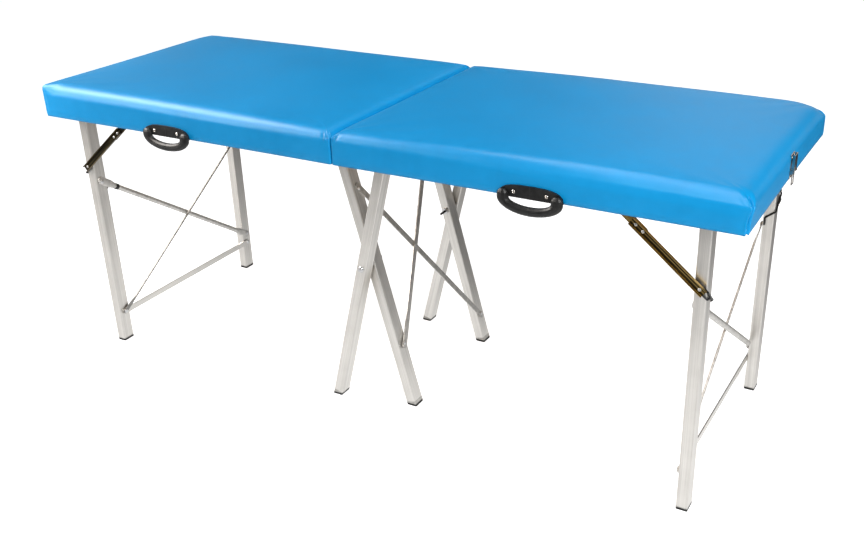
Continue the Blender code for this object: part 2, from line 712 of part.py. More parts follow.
def stay_bar(name, side, edge, metal):
    """Flat upper bar of a stay, with the pin that turns in the side rail."""
    pivot, run, up = stay_lines(side)
    half = STAY_BAR_WIDTH / 2
    outline = []
    for centre, way in ((pivot + run * (STAY_BAR_LENGTH - half), 1), (pivot, -1)):
        for i in range(ROUND_SIDES // 2 + 1):
            a = math.radians(-90 + 180 * i / (ROUND_SIDES // 2))
            outline.append(centre + half * way * (math.cos(a) * run + math.sin(a) * up))
    inside = STAY_Y - FIT - STAY_BAR_THICKNESS
    lifted = [point + Vector((0, edge * inside, 0)) for point in outline]
    bar = piece_from(name, prism(lifted, Vector((0, edge * STAY_BAR_THICKNESS, 0))), metal)
    ends = (inside + STAY_BAR_THICKNESS / 2, RAIL_IN_Y + STAY_PIN_SEAT)
    return combined(bar, turned(pivot, [(STAY_PIN_RADIUS, edge * y) for y in ends]), "UNION")


def stay_channel(name, side, edge, metal):
    """Long U-channel of a stay, open outwards, riveted over the flat bar."""
    pivot, run, up = stay_lines(side)
    half = CHANNEL_WIDTH / 2
    inner = half - CHANNEL_SHEET
    section = [(-half, 0), (half, 0), (half, CHANNEL_DEPTH), (inner, CHANNEL_DEPTH)]
    section += [(inner, CHANNEL_SHEET), (-inner, CHANNEL_SHEET), (-inner, CHANNEL_DEPTH)]
    section += [(-half, CHANNEL_DEPTH)]
    start = pivot + run * CHANNEL_START
    outline = [start + up * u + Vector((0, edge * (STAY_Y + v), 0)) for u, v in section]
    length = STAY_LENGTH + CHANNEL_PAST_HOOK - CHANNEL_START
    return piece_from(name, prism(outline, run * length), metal)


def stay_hook(name, side, edge, metal):
    """Sprung wire that loops round the stay's end and hooks about the leg's outer corner."""
    _, run, up = stay_lines(1)
    away = HOOK_WIRE / 2 + RUN
    out_x, out_y = TUBE_X / 2 + away, TUBE_Y / 2 + away
    corner = TUBE_X / 2 - HOOK_WIRE
    upper, lower = up * -HOOK_STRAND, up * HOOK_STRAND
    if upper.z < lower.z:
        upper, lower = lower, upper
    back = run * -2 * HOOK_STRAND

    def strand(offset, x):
        """Point on the leg's outer face where a strand passes a given x."""
        return Vector((x, out_y, offset.z - (x - offset.x) * STAY_DROP / STAY_REACH))

    top_edge = strand(upper, out_x)
    low_edge = strand(lower, out_x)
    inner_z = low_edge.z - HOOK_SLOPE
    points = [
        Vector((-corner, -out_y, inner_z - 2 * HOOK_SLOPE)),
        Vector((-corner, -out_y, inner_z - HOOK_SLOPE)),
        Vector((out_x, -out_y, inner_z)),
        top_edge,
        Vector((upper.x, out_y, upper.z)) + back,
        Vector((lower.x, out_y, lower.z)) + back,
        low_edge,
        low_edge + Vector((0, -TUBE_Y / 2, -HOOK_WIRE)),
    ]
    hook_z = STAY_Z - STAY_DROP
    path = filleted(points, away)
    placed = [Vector((side * (LEG_X + p.x), edge * (LEG_Y + p.y), hook_z + p.z)) for p in path]
    wire = HOOK_WIRE / 2
    return piece_from(name, swept(placed, oval(wire, wire, WIRE_SIDES)), metal)


def stays(name, side, table, metal):
    """The near and the far stay of one half, each on its own pivot."""
    for edge, word in ((-1, "near"), (1, "far")):
        axis = axis_empty(f"{name}_{word}_stay_axis", (side * STAY_X, edge * STAY_Y, STAY_Z), table)
        bar = stay_bar(f"{name}_{word}_stay_bar", side, edge, metal)
        channel = stay_channel(f"{name}_{word}_stay_channel", side, edge, metal)
        carry((bar, channel), axis)


def handle(name, side, plastic):
    """Moulded D handle: an oval grip whose round ends stand on an arched plate."""
    middle = Vector((side * HANDLE_X, -SKIRT_Y - HANDLE_DEPTH / 2, SKIRT_EDGE))
    deep = Vector((0, HANDLE_DEPTH / 2, 0))
    end_bar = Vector(((HANDLE_HALF_WIDTH - FINGER_GAP_HALF_WIDTH) / 2, 0, 0))
    low_bar = Vector((0, 0, (FINGER_GAP_DROP - HANDLE_DROP) / 2))
    reach = Vector(((HANDLE_HALF_WIDTH + FINGER_GAP_HALF_WIDTH) / 2, 0, 0))
    drop = Vector((0, 0, -(HANDLE_DROP + FINGER_GAP_DROP) / 2))

    def section(centre, out, size=1.0):
        return [middle + centre + size * (u * deep + v * out) for u, v in oval(1.0, 1.0, ROUND_SIDES)]

    bow = []
    for i in range(2 * ROUND_SIDES + 1):
        a = math.pi * i / (2 * ROUND_SIDES)
        along, across = math.cos(a), math.sin(a)
        bow.append(section(along * reach + across * drop, along * end_bar + across * low_bar))
    domes = []
    for way in (1, -1):
        dome = []
        for step in range(DOME_STEPS + 1):
            a = math.pi / 2 * step / (DOME_STEPS + 1)
            rise = Vector((0, 0, GRIP_SHOULDER + end_bar.x * math.sin(a)))
            dome.append(section(way * reach + rise, way * end_bar, math.cos(a)))
        domes.append(dome)
    grip = piece_from(name, loft(domes[0][::-1] + bow + domes[1]), plastic)
    half = HANDLE_HALF_WIDTH - HANDLE_PLATE_INSET
    arch = HANDLE_RISE - HANDLE_PLATE_FOOT
    outline = []
    for i in range(ROUND_SIDES + 1):
        a = math.pi * i / ROUND_SIDES
        x = math.copysign(abs(math.cos(a)) ** (2 / HANDLE_ARCH_POWER), math.cos(a))
        z = HANDLE_PLATE_FOOT + arch * math.sin(a) ** (2 / HANDLE_ARCH_POWER)
        outline.append(Vector((side * HANDLE_X + half * x, -SKIRT_Y, SKIRT_EDGE + z)))
    plate = prism(outline, Vector((0, -HANDLE_PLATE_DEPTH, 0)))
    return combined(grip, plate, "UNION")


def latch(table, metal):
    """Case latch on the right end: plate with ears, lever, and the wire loop that draws it shut."""
    back = SKIRT_X
    low = SKIRT_EDGE + LATCH_FOOT
    half = LATCH_WIDTH / 2
    plate = piece_from(
        "latch_plate", box((back, -half, low), (back + LATCH_SHEET, half, low + LATCH_HEIGHT)), metal
    )
    pivot = Vector((back + LATCH_PIVOT_PROUD, 0, low + LATCH_PIVOT_RISE))
    ear_in = LEVER_WIDTH / 2 + RUN
    ears = []
    for edge in (-1, 1):
        rim = [math.radians(-90 + 180 * i / ROUND_SIDES) for i in range(ROUND_SIDES + 1)]
        outline = [Vector((back + LATCH_SHEET / 2, edge * ear_in, pivot.z - LATCH_EAR_RADIUS))]
        for a in rim:
            nose = Vector((math.cos(a), 0, math.sin(a))) * LATCH_EAR_RADIUS
            outline.append(Vector((pivot.x, edge * ear_in, pivot.z)) + nose)
        outline.append(Vector((back + LATCH_SHEET / 2, edge * ear_in, pivot.z + LATCH_EAR_RADIUS)))
        ears.append(prism(outline, Vector((0, edge * LEVER_SHEET, 0))))
    combined(plate, side_by_side(ears), "UNION")
    stubs = []
    for edge in (-1, 1):
        ends = (LEVER_WIDTH / 2 - LEVER_SHEET, ear_in + LEVER_SHEET / 2)
        stubs.append(turned(pivot, [(LATCH_PIN_RADIUS, edge * y) for y in ends]))
    combined(plate, side_by_side(stubs), "UNION")
    carry((plate,), table)
    lever_axis = axis_empty("latch_lever_axis", pivot, table)
    carry((latch_lever(pivot, metal),), lever_axis)
    loop_pivot = pivot + Vector((0, 0, LOOP_PIVOT))
    loop_axis = axis_empty("latch_loop_axis", loop_pivot, lever_axis)
    carry((latch_loop(loop_pivot, metal),), loop_axis)


def latch_lever(pivot, metal):
    """Folded lever: two cheeks on the pin and a thumb plate between them."""
    half = LEVER_WIDTH / 2
    front = LEVER_DEPTH / 2
    cheeks = []
    for edge in (-1, 1):
        turns = [math.radians(180 + 180 * i / ROUND_SIDES) for i in range(ROUND_SIDES + 1)]
        outline = [(front * math.cos(a), front * math.sin(a)) for a in turns]
        outline += [(front, LEVER_LENGTH), (-front / 2, LEVER_LENGTH)]
        placed = [pivot + Vector((x, edge * half, z)) for x, z in outline]
        cheeks.append(prism(placed, Vector((0, -edge * LEVER_SHEET, 0))))
    plate = box(
        (pivot.x + front - LEVER_SHEET, -half + LEVER_SHEET / 2, pivot.z + LEVER_PLATE_START),
        (pivot.x + front, half - LEVER_SHEET / 2, pivot.z + LEVER_LENGTH),
    )
    lever = combined(piece_from("latch_lever", plate, metal), side_by_side(cheeks), "UNION")
    ends = (-LATCH_WIDTH, LATCH_WIDTH)
    pin_hole = turned(pivot, [(hole_radius(LATCH_PIN_RADIUS), y) for y in ends])
    loop_place = pivot + Vector((0, 0, LOOP_PIVOT))
    loop_hole = turned(loop_place, [(hole_radius(LOOP_WIRE / 2), y) for y in ends])
    return combined(lever, side_by_side((pin_hole, loop_hole)), "DIFFERENCE")


def latch_loop(place, metal):
    """Wire loop whose two ends turn in the lever's cheeks."""
    outside = LEVER_WIDTH / 2 - RUN
    inside = LEVER_WIDTH / 2 - LEVER_SHEET - LOOP_WIRE / 2 - RUN
    corners = [(outside, 0), (inside, 0), (inside, -LOOP_DROP), (-inside, -LOOP_DROP)]
    corners += [(-inside, 0), (-outside, 0)]
    points = [place + Vector((0, y, z)) for y, z in corners]
    wire = LOOP_WIRE / 2
    return piece_from("latch_loop", swept(filleted(points, wire), oval(wire, wire, WIRE_SIDES)), metal)


def latch_keeper(metal):
    """Hooked plate on the left end that the loop catches when the case is shut."""
    low = SKIRT_EDGE + LATCH_FOOT
    root = SKIRT_X + LATCH_SHEET
    tip = SKIRT_X + LATCH_PROUD
    catch = low + KEEPER_LIP
    section = [(SKIRT_X, low), (root, low), (root, catch), (tip - LATCH_SHEET, catch)]
    section += [(tip - LATCH_SHEET, low), (tip, low), (tip, catch + LATCH_SHEET)]
    section += [(root, catch + LATCH_SHEET), (root, low + KEEPER_HEIGHT), (SKIRT_X, low + KEEPER_HEIGHT)]
    outline = [Vector((-x, -LATCH_WIDTH / 2, z)) for x, z in section]
    return piece_from("latch_keeper", prism(outline, Vector((0, LATCH_WIDTH, 0))), metal)


def build():
    """The whole table, open and standing on its eight legs."""
    clear_scene()
    finishes = {
        "vinyl": finish("blue_vinyl", (0.01, 0.25, 0.66), 0.32),
        "wood": finish("plywood", (0.55, 0.38, 0.22), 0.65),
        "aluminium": finish("satin_aluminium", (0.75, 0.73, 0.71), 0.38, 1.0),
        "steel": finish("bright_steel", (0.62, 0.62, 0.62), 0.3, 1.0),
        "plastic": finish("black_plastic", (0.012, 0.012, 0.014), 0.35),
        "zinc": finish("yellow_zinc", (0.42, 0.30, 0.10), 0.28, 1.0),
        "wire": finish("black_wire", (0.01, 0.01, 0.01), 0.4),
        "chrome": finish("chrome", (0.8, 0.8, 0.8), 0.12, 1.0),
    }
    table = axis_empty("table", (0, 0, 0), None)
    table.location = (0, TABLE_Y, 0)
    right_axis = axis_empty("centre_fold_axis", (0, 0, HINGE_Z), table)
    for side, word, half in ((-1, "left", table), (1, "right", right_axis)):
        pieces = [
            cushion(f"{word}_cushion", side, finishes["vinyl"]),
            box_frame(f"{word}_box_frame", side, finishes["wood"]),
            board(f"{word}_board", side, finishes["wood"]),
            hinge_leaf(f"{word}_hinge_leaf", side, finishes["steel"]),
            centre_shaft(f"{word}_centre_shaft", side, finishes["steel"]),
            handle(f"{word}_handle", side, finishes["plastic"]),
        ]
        for edge, place in ((-1, "near"), (1, "far")):
            pieces.append(leg_bracket(f"{word}_{place}_leg_bracket", side, edge, finishes["steel"]))
        carry(pieces, half)
        outer_leg_frame(word, side, half, finishes)
        stays(word, side, half, finishes["zinc"])
    carry((hinge_pin("hinge_pin", finishes["steel"]), latch_keeper(finishes["chrome"])), table)
    latch(right_axis, finishes["chrome"])
    inner_axis = axis_empty("inner_centre_legs_axis", (-CENTRE_PIVOT_X, 0, PIVOT_Z), table)
    outer_axis = axis_empty("outer_centre_legs_axis", (CENTRE_PIVOT_X, 0, PIVOT_Z), right_axis)
    centre_legs("inner_centre", 1, CENTRE_IN_Y, inner_axis, finishes)
    centre_legs("outer_centre", -1, CENTRE_OUT_Y, outer_axis, finishes)
    centre_bracing(inner_axis, finishes)


build()
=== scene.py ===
# %% [markdown]
# # Dressing a folding massage table
# The rigid pieces of this table come from its CAD model: legs, braces, stays, hinge, latch and
# box frames. This lesson puts the soft covers on it, gives every surface its finish, and adds the
# small fasteners. Every new piece rides on a CAD body, so the table still folds.

# %% Load the frame
import json
import math

import bmesh
import bpy
from mathutils import Matrix, Vector, noise


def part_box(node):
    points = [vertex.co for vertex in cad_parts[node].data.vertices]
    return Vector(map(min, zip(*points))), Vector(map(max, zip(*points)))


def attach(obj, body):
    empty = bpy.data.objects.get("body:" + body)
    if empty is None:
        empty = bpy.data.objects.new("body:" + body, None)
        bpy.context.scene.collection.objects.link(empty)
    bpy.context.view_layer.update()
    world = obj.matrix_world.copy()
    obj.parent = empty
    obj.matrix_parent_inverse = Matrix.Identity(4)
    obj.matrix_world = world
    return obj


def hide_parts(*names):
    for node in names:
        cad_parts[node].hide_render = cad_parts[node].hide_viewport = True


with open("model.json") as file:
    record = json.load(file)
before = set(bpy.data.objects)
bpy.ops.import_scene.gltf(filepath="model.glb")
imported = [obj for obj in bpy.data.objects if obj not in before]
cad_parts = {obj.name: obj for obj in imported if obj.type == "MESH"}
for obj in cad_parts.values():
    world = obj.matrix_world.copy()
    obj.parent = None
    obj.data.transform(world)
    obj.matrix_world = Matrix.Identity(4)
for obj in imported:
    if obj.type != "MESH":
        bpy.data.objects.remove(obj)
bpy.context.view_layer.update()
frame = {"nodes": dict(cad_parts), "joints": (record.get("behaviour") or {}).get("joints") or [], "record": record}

nodes = frame["nodes"]
joint_at = {joint["name"]: Vector(joint["pos_m"]) for joint in frame["joints"]}
SIDES = (("left", -1), ("right", 1))
EDGES = (("near", -1), ("far", 1))

# %% [markdown]
# ## The camera
# A photograph fixes the camera once enough corners of the object are known. Its place, turns and
# focal length came from such a solve. The matrix is made of the three turns in order, so the small
# roll of the hand-held shot comes along too.

# %% Place the camera
IMAGE_WIDTH = 864  # pixels
FOCAL_LENGTH = 1030.3  # pixels
SENSOR_WIDTH = 36.0  # millimetres
CAMERA_YAW = -0.5423  # radians, as the next two
CAMERA_PITCH = 0.4436
CAMERA_ROLL = -0.0360
CAMERA_FROM_TABLE = Vector((1.2799, -2.0407, 1.4031))


def put_in_scene(name, data):
    """A new object of this data, linked to the scene."""
    made = bpy.data.objects.new(name, data)
    bpy.context.scene.collection.objects.link(made)
    return made


pad_low, pad_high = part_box("left_cushion")
table_y = (pad_low.y + pad_high.y) / 2
lens = bpy.data.cameras.new("camera")
lens.sensor_width = SENSOR_WIDTH
lens.lens = FOCAL_LENGTH / IMAGE_WIDTH * SENSOR_WIDTH
camera = put_in_scene("camera", lens)
pose = Matrix.Rotation(-CAMERA_YAW, 4, "Z") @ Matrix.Rotation(math.pi / 2 - CAMERA_PITCH, 4, "X")
pose = pose @ Matrix.Rotation(CAMERA_ROLL, 4, "Z")
pose.translation = CAMERA_FROM_TABLE + Vector((0, table_y, 0))
camera.matrix_world = pose
bpy.context.scene.camera = camera
print("lens", round(lens.lens, 2), "mm, table centre y", round(table_y, 5))

# %% [markdown]
# ## Shader maths as Python
# Node trees are easier to read as expressions. This small class wraps one output socket. Its
# operators add Math nodes, and `add` makes any other node from its type, settings and inputs.


# %% A socket with arithmetic
def opaque(colour):
    """An opaque colour from three shares, or a grey from one number."""
    shares = (colour,) * 3 if isinstance(colour, float) else colour
    return (*shares, 1.0)


class Shade:
    """One output socket, or the bare tree when there is none."""

    def __init__(self, tree, socket=None):
        self.tree = tree
        self.socket = socket

    def add(self, kind, settings=None, inputs=None, output=0):
        """Add a shader node: its settings first, then values or links by socket."""
        node = self.tree.nodes.new(kind)
        for name, value in (settings or {}).items():
            if name == "stops":
                ramp = node.color_ramp.elements
                while len(ramp) < len(value):
                    ramp.new(1.0)
                for stop, (place, colour) in zip(ramp, value):
                    stop.position = place
                    stop.color = opaque(colour)
            else:
                setattr(node, name, value)
        for name, value in (inputs or {}).items():
            if isinstance(value, Shade):
                self.tree.links.new(value.socket, node.inputs[name])
            else:
                node.inputs[name].default_value = value
        return Shade(self.tree, node.outputs[output] if node.outputs else None)

    def maths(self, operation, *values):
        return self.add("ShaderNodeMath", {"operation": operation}, dict(enumerate(values)))

    def __add__(self, other):
        return self.maths("ADD", self, other)

    def __sub__(self, other):
        return self.maths("SUBTRACT", self, other)

    def __rsub__(self, other):
        return self.maths("SUBTRACT", other, self)

    def __mul__(self, other):
        return self.maths("MULTIPLY", self, other)

    def __abs__(self):
        return self.maths("ABSOLUTE", self)

    __radd__ = __add__
    __rmul__ = __mul__

    def axis(self, name):
        """One coordinate of this vector: X, Y or Z."""
        return self.add("ShaderNodeSeparateXYZ", None, {0: self}, output=name)

    def ramp(self, *stops):
        """Map this value through grey or coloured stops."""
        return self.add("ShaderNodeValToRGB", {"stops": stops}, {0: self})

    def between(self, low, high):
        """This value brought from low..high to 0..1."""
        return self.add("ShaderNodeMapRange", None, {0: self, 1: low, 2: high})

    def mix(self, first, second):
        """Blend two colours by this value."""
        inputs = {0: self, 6: first, 7: second}
        return self.add("ShaderNodeMix", {"data_type": "RGBA"}, inputs, output=2)


class Finish:
    """A Principled material under construction, read on Object coordinates."""

    def __init__(self, name, **constants):
        self.material = bpy.data.materials.new(name)
        self.material.use_nodes = True
        self.tree = self.material.node_tree
        self.shader = self.tree.nodes["Principled BSDF"]
        for socket, value in constants.items():
            self.shader.inputs[socket.replace("_", " ")].default_value = value
        self.add = Shade(self.tree).add
        self.place = self.add("ShaderNodeTexCoord", output="Object")

    def stretched(self, scale, turn=(0.0, 0.0, 0.0)):
        """Object coordinates turned, then stretched, for grain."""
        turned = self.add("ShaderNodeMapping", None, {"Vector": self.place, "Rotation": turn})
        return self.add("ShaderNodeMapping", None, {"Vector": turned, "Scale": scale})

    def noise(self, scale, detail=3.0, at=None):
        inputs = {"Vector": at or self.place, "Scale": scale, "Detail": detail}
        return self.add("ShaderNodeTexNoise", None, inputs)

    def done(self, colour, roughness, height, distance, strength):
        """Link what varies over the surface; returns the material."""
        inputs = {"Height": height, "Distance": distance, "Strength": strength}
        normal = self.add("ShaderNodeBump", None, inputs)
        for socket, value in (("Base Color", colour), ("Roughness", roughness), ("Normal", normal)):
            self.tree.links.new(value.socket, self.shader.inputs[socket])
        return self.material


print("shader helpers ready")

# %% [markdown]
# ## Floor
# A product shot stands on a white sweep. The floor is a plain pale sheet that still takes the
# table's shadow. A Light Path switch adds a little glow to it for camera rays only, so it reads as
# white without throwing more light on the table. Mirror rays see it lit round the table and darker
# behind, as a lamp from the front leaves it.

# %% Lay the floor
FLOOR_SIZE = 30.0
FLOOR_COLOUR = 0.82
FLOOR_GLOW = 0.72
FLOOR_SPAN = (-2.4, 2.6)  # in the mirrors the floor changes between these places, front to back
FLOOR_GREYS = (
    (0.0, 0.06), (0.13, 0.10), (0.23, 1.02), (0.49, 1.02),
    (0.58, 0.64), (0.67, 0.32), (0.8, 0.18), (0.9, 0.04),
)
FLOOR_GAIN = 1.08
FLOOR_TILT = 0.10  # and it is brighter to the right


def ray_tree(owner):
    """A bare tree, and whether a ray is the camera's, or a mirror or see-through ray: 0 or 1."""
    owner.use_nodes = True
    owner.node_tree.nodes.clear()
    start = Shade(owner.node_tree)
    kinds = ("Is Camera Ray", "Is Glossy Ray", "Is Transmission Ray")
    camera_ray, glossy, through = (start.add("ShaderNodeLightPath", output=kind) for kind in kinds)
    return start, camera_ray, start.maths("MINIMUM", glossy + through, 1.0)


reach = FLOOR_SIZE / 2
floor_mesh = bpy.data.meshes.new("floor")
outline = [(-reach, -reach, 0), (reach, -reach, 0), (reach, reach, 0), (-reach, reach, 0)]
floor_mesh.from_pydata(outline, [], [(0, 1, 2, 3)])
floor = put_in_scene("floor", floor_mesh)
floor_white = bpy.data.materials.new("floor_white")
start, camera_ray, mirror_ray = ray_tree(floor_white)
pale = mirror_ray.mix(opaque(FLOOR_COLOUR), opaque(0.0))
matt = start.add("ShaderNodeBsdfDiffuse", None, {"Color": pale})
spot = start.add("ShaderNodeTexCoord", output="Object")
lit = spot.axis("Y").between(*FLOOR_SPAN).ramp(*FLOOR_GREYS)
shine = camera_ray * FLOOR_GLOW + mirror_ray * lit * (FLOOR_GAIN + FLOOR_TILT * spot.axis("X"))
glow = start.add("ShaderNodeEmission", None, {"Strength": shine})
both = start.add("ShaderNodeAddShader", None, {0: matt, 1: glow})
start.add("ShaderNodeOutputMaterial", None, {"Surface": both})
floor_mesh.materials.append(floor_white)
print("floor", FLOOR_SIZE, "m wide")

# %% [markdown]
# ## Room and lamps
# The world does as the floor does: white behind the table, a grey room in the mirrors, and a soft
# even light for everything else. Softboxes then give the shape. Two of them show only in glossy
# surfaces and draw the bright lines along the rims. Two small ones lift the skirt at its ends and
# show in no mirror.

# %% Light the room
ROOM_LIGHT = 0.32
HORIZON = (0.0, 0.06)  # the white sweep fades out between these sines of elevation
ROOM_TOP = (0.42, 0.60)  # and the room's grey falls off between these
ROOM_FALL = 0.85
ROOM_SIDES = (-0.80, 0.20)  # the room in the mirrors changes between these shares of +X
ROOM_GREYS = (
    (0.0, 0.36), (0.17, 0.18), (0.27, 0.02), (0.44, 0.2),
    (0.54, 0.76), (0.6, 0.86), (0.8, 0.3), (1.0, 0.1),
)

world = bpy.data.worlds.new("studio")
bpy.context.scene.world = world
start, camera_ray, mirror_ray = ray_tree(world)
direction = start.add("ShaderNodeTexCoord", output="Generated")
height = direction.axis("Z")
room = direction.axis("X").between(*ROOM_SIDES).ramp(*ROOM_GREYS)
room = room * (1.0 - ROOM_FALL * height.between(*ROOM_TOP))
backdrop = room + (1.0 - height.between(*HORIZON)) * (1.0 - room)
strength = camera_ray + mirror_ray * backdrop + (1.0 - camera_ray - mirror_ray) * ROOM_LIGHT
sky = start.add("ShaderNodeBackground", None, {"Color": opaque(1.0), "Strength": strength})
start.add("ShaderNodeOutputWorld", None, {"Surface": sky})
print("world", world.name)

# %% Set the lamps
LAMPS = (  # name, place, aim, size, watts, kinds of ray that miss it
    ("rim_box", (-2.08, -0.85, 1.68), (-2.08, -0.39, 0.79), (2.44, 2.1), 220.0, ["diffuse"]),
    ("slope_box", (0.45, -0.45, 2.8), (0.5, -0.3, 0.7), (1.1, 0.7), 24.0, ["diffuse"]),
    ("left_fill", (-1.25, -0.75, 0.68), (-0.95, -0.33, 0.68), (0.3, 0.3), 2.9, ["glossy", "camera"]),
    ("end_fill", (1.9, 0.15, 0.85), (0.9, -0.05, 0.68), (0.5, 0.5), 1.7, ["glossy", "camera"]),
    ("left_box", (-2.2, -0.95, 2.45), (-0.4, -0.3, 0.7), (1.0, 1.0), 34.0, []),
    ("back_box", (-0.15, 0.45, 2.6), (0.5, -0.3, 0.7), (1.0, 0.6), 16.0, []),
    ("front_box", (2.6, -1.95, 2.4), (0.0, table_y, 0.6), (1.3, 1.3), 112.0, []),
)
WARM_WHITE = (1.0, 0.93, 0.87)

for name, place, aim, size, watts, blind in LAMPS:
    lamp = bpy.data.lights.new(name, "AREA")
    lamp.shape = "RECTANGLE"
    lamp.size, lamp.size_y = size
    lamp.energy = watts
    stand = put_in_scene(name, lamp)
    stand.location = place
    stand.rotation_euler = (Vector(aim) - Vector(place)).to_track_quat("-Z", "Y").to_euler()
    for ray in blind:
        setattr(stand, f"visible_{ray}", False)
bpy.data.lights["rim_box"].color = WARM_WHITE
bpy.context.scene.view_settings.view_transform = "Standard"
print("softboxes", len(LAMPS))

# %% [markdown]
# ## Vinyl
# The covers are glossy blue vinyl with a fine leather-like print. Rounded cells with pores between
# them give that print at its real size, where a picture of it would stretch over the rims.


# %% Blue vinyl
def blue_vinyl():
    skin = Finish("blue_vinyl", Specular_IOR_Level=0.25)
    inputs = {"Vector": skin.place, "Scale": 620.0}
    cells = skin.add("ShaderNodeTexVoronoi", {"feature": "SMOOTH_F1"}, inputs)
    pores = skin.noise(1500.0, 2.0)
    broad = skin.noise(5.0, 4.0)
    cloudy = skin.noise(38.0)
    tone = broad * 0.6 + cloudy * 0.4
    blue = tone.ramp((0.30, (0.0, 0.230, 0.515)), (0.70, (0.001, 0.268, 0.590)))
    roughness = 0.25 + broad * 0.12 + cloudy * 0.06
    return skin.done(blue, roughness, cells * 0.7 + pores * 0.3, 0.0004, 0.7)


vinyl = blue_vinyl()
print("finish", vinyl.name)

# %% [markdown]
# ## Wood
# The box frames are bare pine and the boards plywood, seen when the table is folded. Grain is
# noise stretched along the fibres. A box frame is one solid, so the distance from the seam tells
# its short rails, where the grain runs across, from its long ones.

# %% Pine and plywood
RAIL = 0.018
END_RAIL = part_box("right_box_frame")[1].x - RAIL
SEAM_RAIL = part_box("right_box_frame")[0].x + RAIL


def bare_wood():
    wood = Finish("bare_pine")
    from_seam = abs(wood.place.axis("X"))
    end_rail = from_seam.maths("GREATER_THAN", from_seam, END_RAIL)
    short_rail = end_rail + from_seam.maths("LESS_THAN", from_seam, SEAM_RAIL)
    grains = []
    for scale, along, across in ((1.6, 4.0, 46.0), (7.0, 14.0, 160.0)):
        long_grain = wood.noise(scale, 4.0, wood.stretched((along, across, across)))
        short_grain = wood.noise(scale, 4.0, wood.stretched((across, along, across)))
        grains.append(long_grain + short_rail * (short_grain - long_grain))
    rings, fibre = grains
    tan = (rings * 0.65 + fibre * 0.35).ramp(
        (0.32, (0.36, 0.215, 0.105)), (0.5, (0.56, 0.385, 0.215)), (0.68, (0.66, 0.49, 0.30))
    )
    return wood.done(tan, 0.5 + fibre * 0.22, fibre, 0.0006, 0.5)


def board_panel():
    panel = Finish("plywood_face")
    flame = panel.noise(1.1, 5.0, panel.stretched((2.2, 17.0, 17.0)))
    pores = panel.noise(9.0, 4.0, panel.stretched((20.0, 300.0, 300.0)))
    tan = (flame * 0.7 + pores * 0.3).ramp(
        (0.3, (0.44, 0.27, 0.135)), (0.52, (0.60, 0.42, 0.245)), (0.7, (0.70, 0.53, 0.34))
    )
    return panel.done(tan, 0.48 + pores * 0.25, pores, 0.0004, 0.4)


pine, plywood = bare_wood(), board_panel()
print("finishes", pine.name, plywood.name)

# %% [markdown]
# ## Metals
# The legs are extruded aluminium with fine drawn lines along them. One set of lines would run
# across half of the tubes, so the same recipe makes four finishes, each turned to its own tubes.
# Strips and rods are dull rolled steel, and small parts are bright zinc with its spangle.

# %% Aluminium and steel
LEG_RUN, LEG_RISE = 0.1785, 0.676  # of a crossed centre leg
LEAN = math.atan2(LEG_RUN, LEG_RISE)


def drawn_aluminium(name, turn):
    """Extruded tube, whose length turn lays along Z."""
    tube = Finish(name, Metallic=1.0)
    lines = tube.noise(1.0, 4.0, tube.stretched((620.0, 620.0, 5.0), turn))
    bands = tube.noise(1.0, 2.0, tube.stretched((120.0, 120.0, 1.4), turn))
    stain = tube.noise(22.0, 4.0)
    silver = (lines * 0.5 + bands * 0.3 + stain * 0.2).ramp(
        (0.32, (0.55, 0.530, 0.500)), (0.52, (0.71, 0.688, 0.652)), (0.72, (0.83, 0.808, 0.772))
    )
    return tube.done(silver, 0.29 + lines * 0.12 + stain * 0.08, lines, 0.00012, 0.5)


def bright_steel():
    steel = Finish("bright_zinc_steel", Metallic=1.0)
    spangle = steel.noise(240.0)
    stain = steel.noise(30.0)
    white = (spangle * 0.4 + stain * 0.6).ramp((0.3, 0.52), (0.7, 0.72))
    return steel.done(white, 0.2 + spangle * 0.14 + stain * 0.06, spangle, 0.00008, 0.4)


def rolled_steel(name, value):
    """Dull mill finish of strips and rods. For the rods, value also holds painted light and shade."""
    steel = Finish(name, Metallic=1.0)
    scale = steel.noise(90.0, 4.0)
    dark, light = ((value * k, value * k * 0.975, value * k * 0.93) for k in (0.82, 1.18))
    warm = scale.ramp((0.3, dark), (0.7, light))
    return steel.done(warm, 0.44 + scale * 0.14, scale, 0.00006, 0.4)


upright = drawn_aluminium("aluminium_upright", (0.0, 0.0, 0.0))
leaning = {
    "inner": drawn_aluminium("aluminium_leaning_left", (0.0, LEAN, 0.0)),
    "outer": drawn_aluminium("aluminium_leaning_right", (0.0, -LEAN, 0.0)),
}
crosswise = drawn_aluminium("aluminium_braces", (math.pi / 2, 0.0, 0.0))
steel = bright_steel()
strip, dull_tube = rolled_steel("rolled_strip", 0.54), rolled_steel("dull_tube", 0.62)
# One steel for both rods: the left is painted darker as shade, the right lighter as painted light.
rods_painted_shading = {side: rolled_steel(f"{side}_rod_painted_shading", 0.56 + 0.26 * way) for side, way in SIDES}
print("finishes", upright.name, crosswise.name, steel.name, strip.name, dull_tube.name)

# %% [markdown]
# ## Yellow zinc and chrome
# The stays are yellow zinc with its rainbow tint. In their channels the folded edges are gold,
# the trough is painted near black as shade with a painted highlight line down its middle, and
# the left stay is painted darker than the right, as painted shade. The distance from the line
# between pivot and hook, both read off the CAD model, tells edge from trough without a mask image.
# The latch is chrome.

# %% Zinc and chrome
CHANNEL_END = 0.012  # how much of a stay's end is read for its line
CHANNEL_EDGE = (0.0058, 0.0070)  # from the middle line, where the trough turns into the folded edge
# A painted highlight line runs down the trough's middle. It fades out between these distances.
HIGHLIGHT_LINE_REACH = (0.0006, 0.0016)
PAINTED_HIGHLIGHT_STRENGTH = 0.9


def end_mean(name, axis, low_end, reach=0.006):
    """Middle of the vertices within reach of one end of a node along an axis."""
    low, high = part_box(name)
    edge = low[axis] if low_end else high[axis]
    found = [v.co for v in nodes[name].data.vertices if abs(v.co[axis] - edge) < reach]
    return sum(found, Vector()) / len(found)


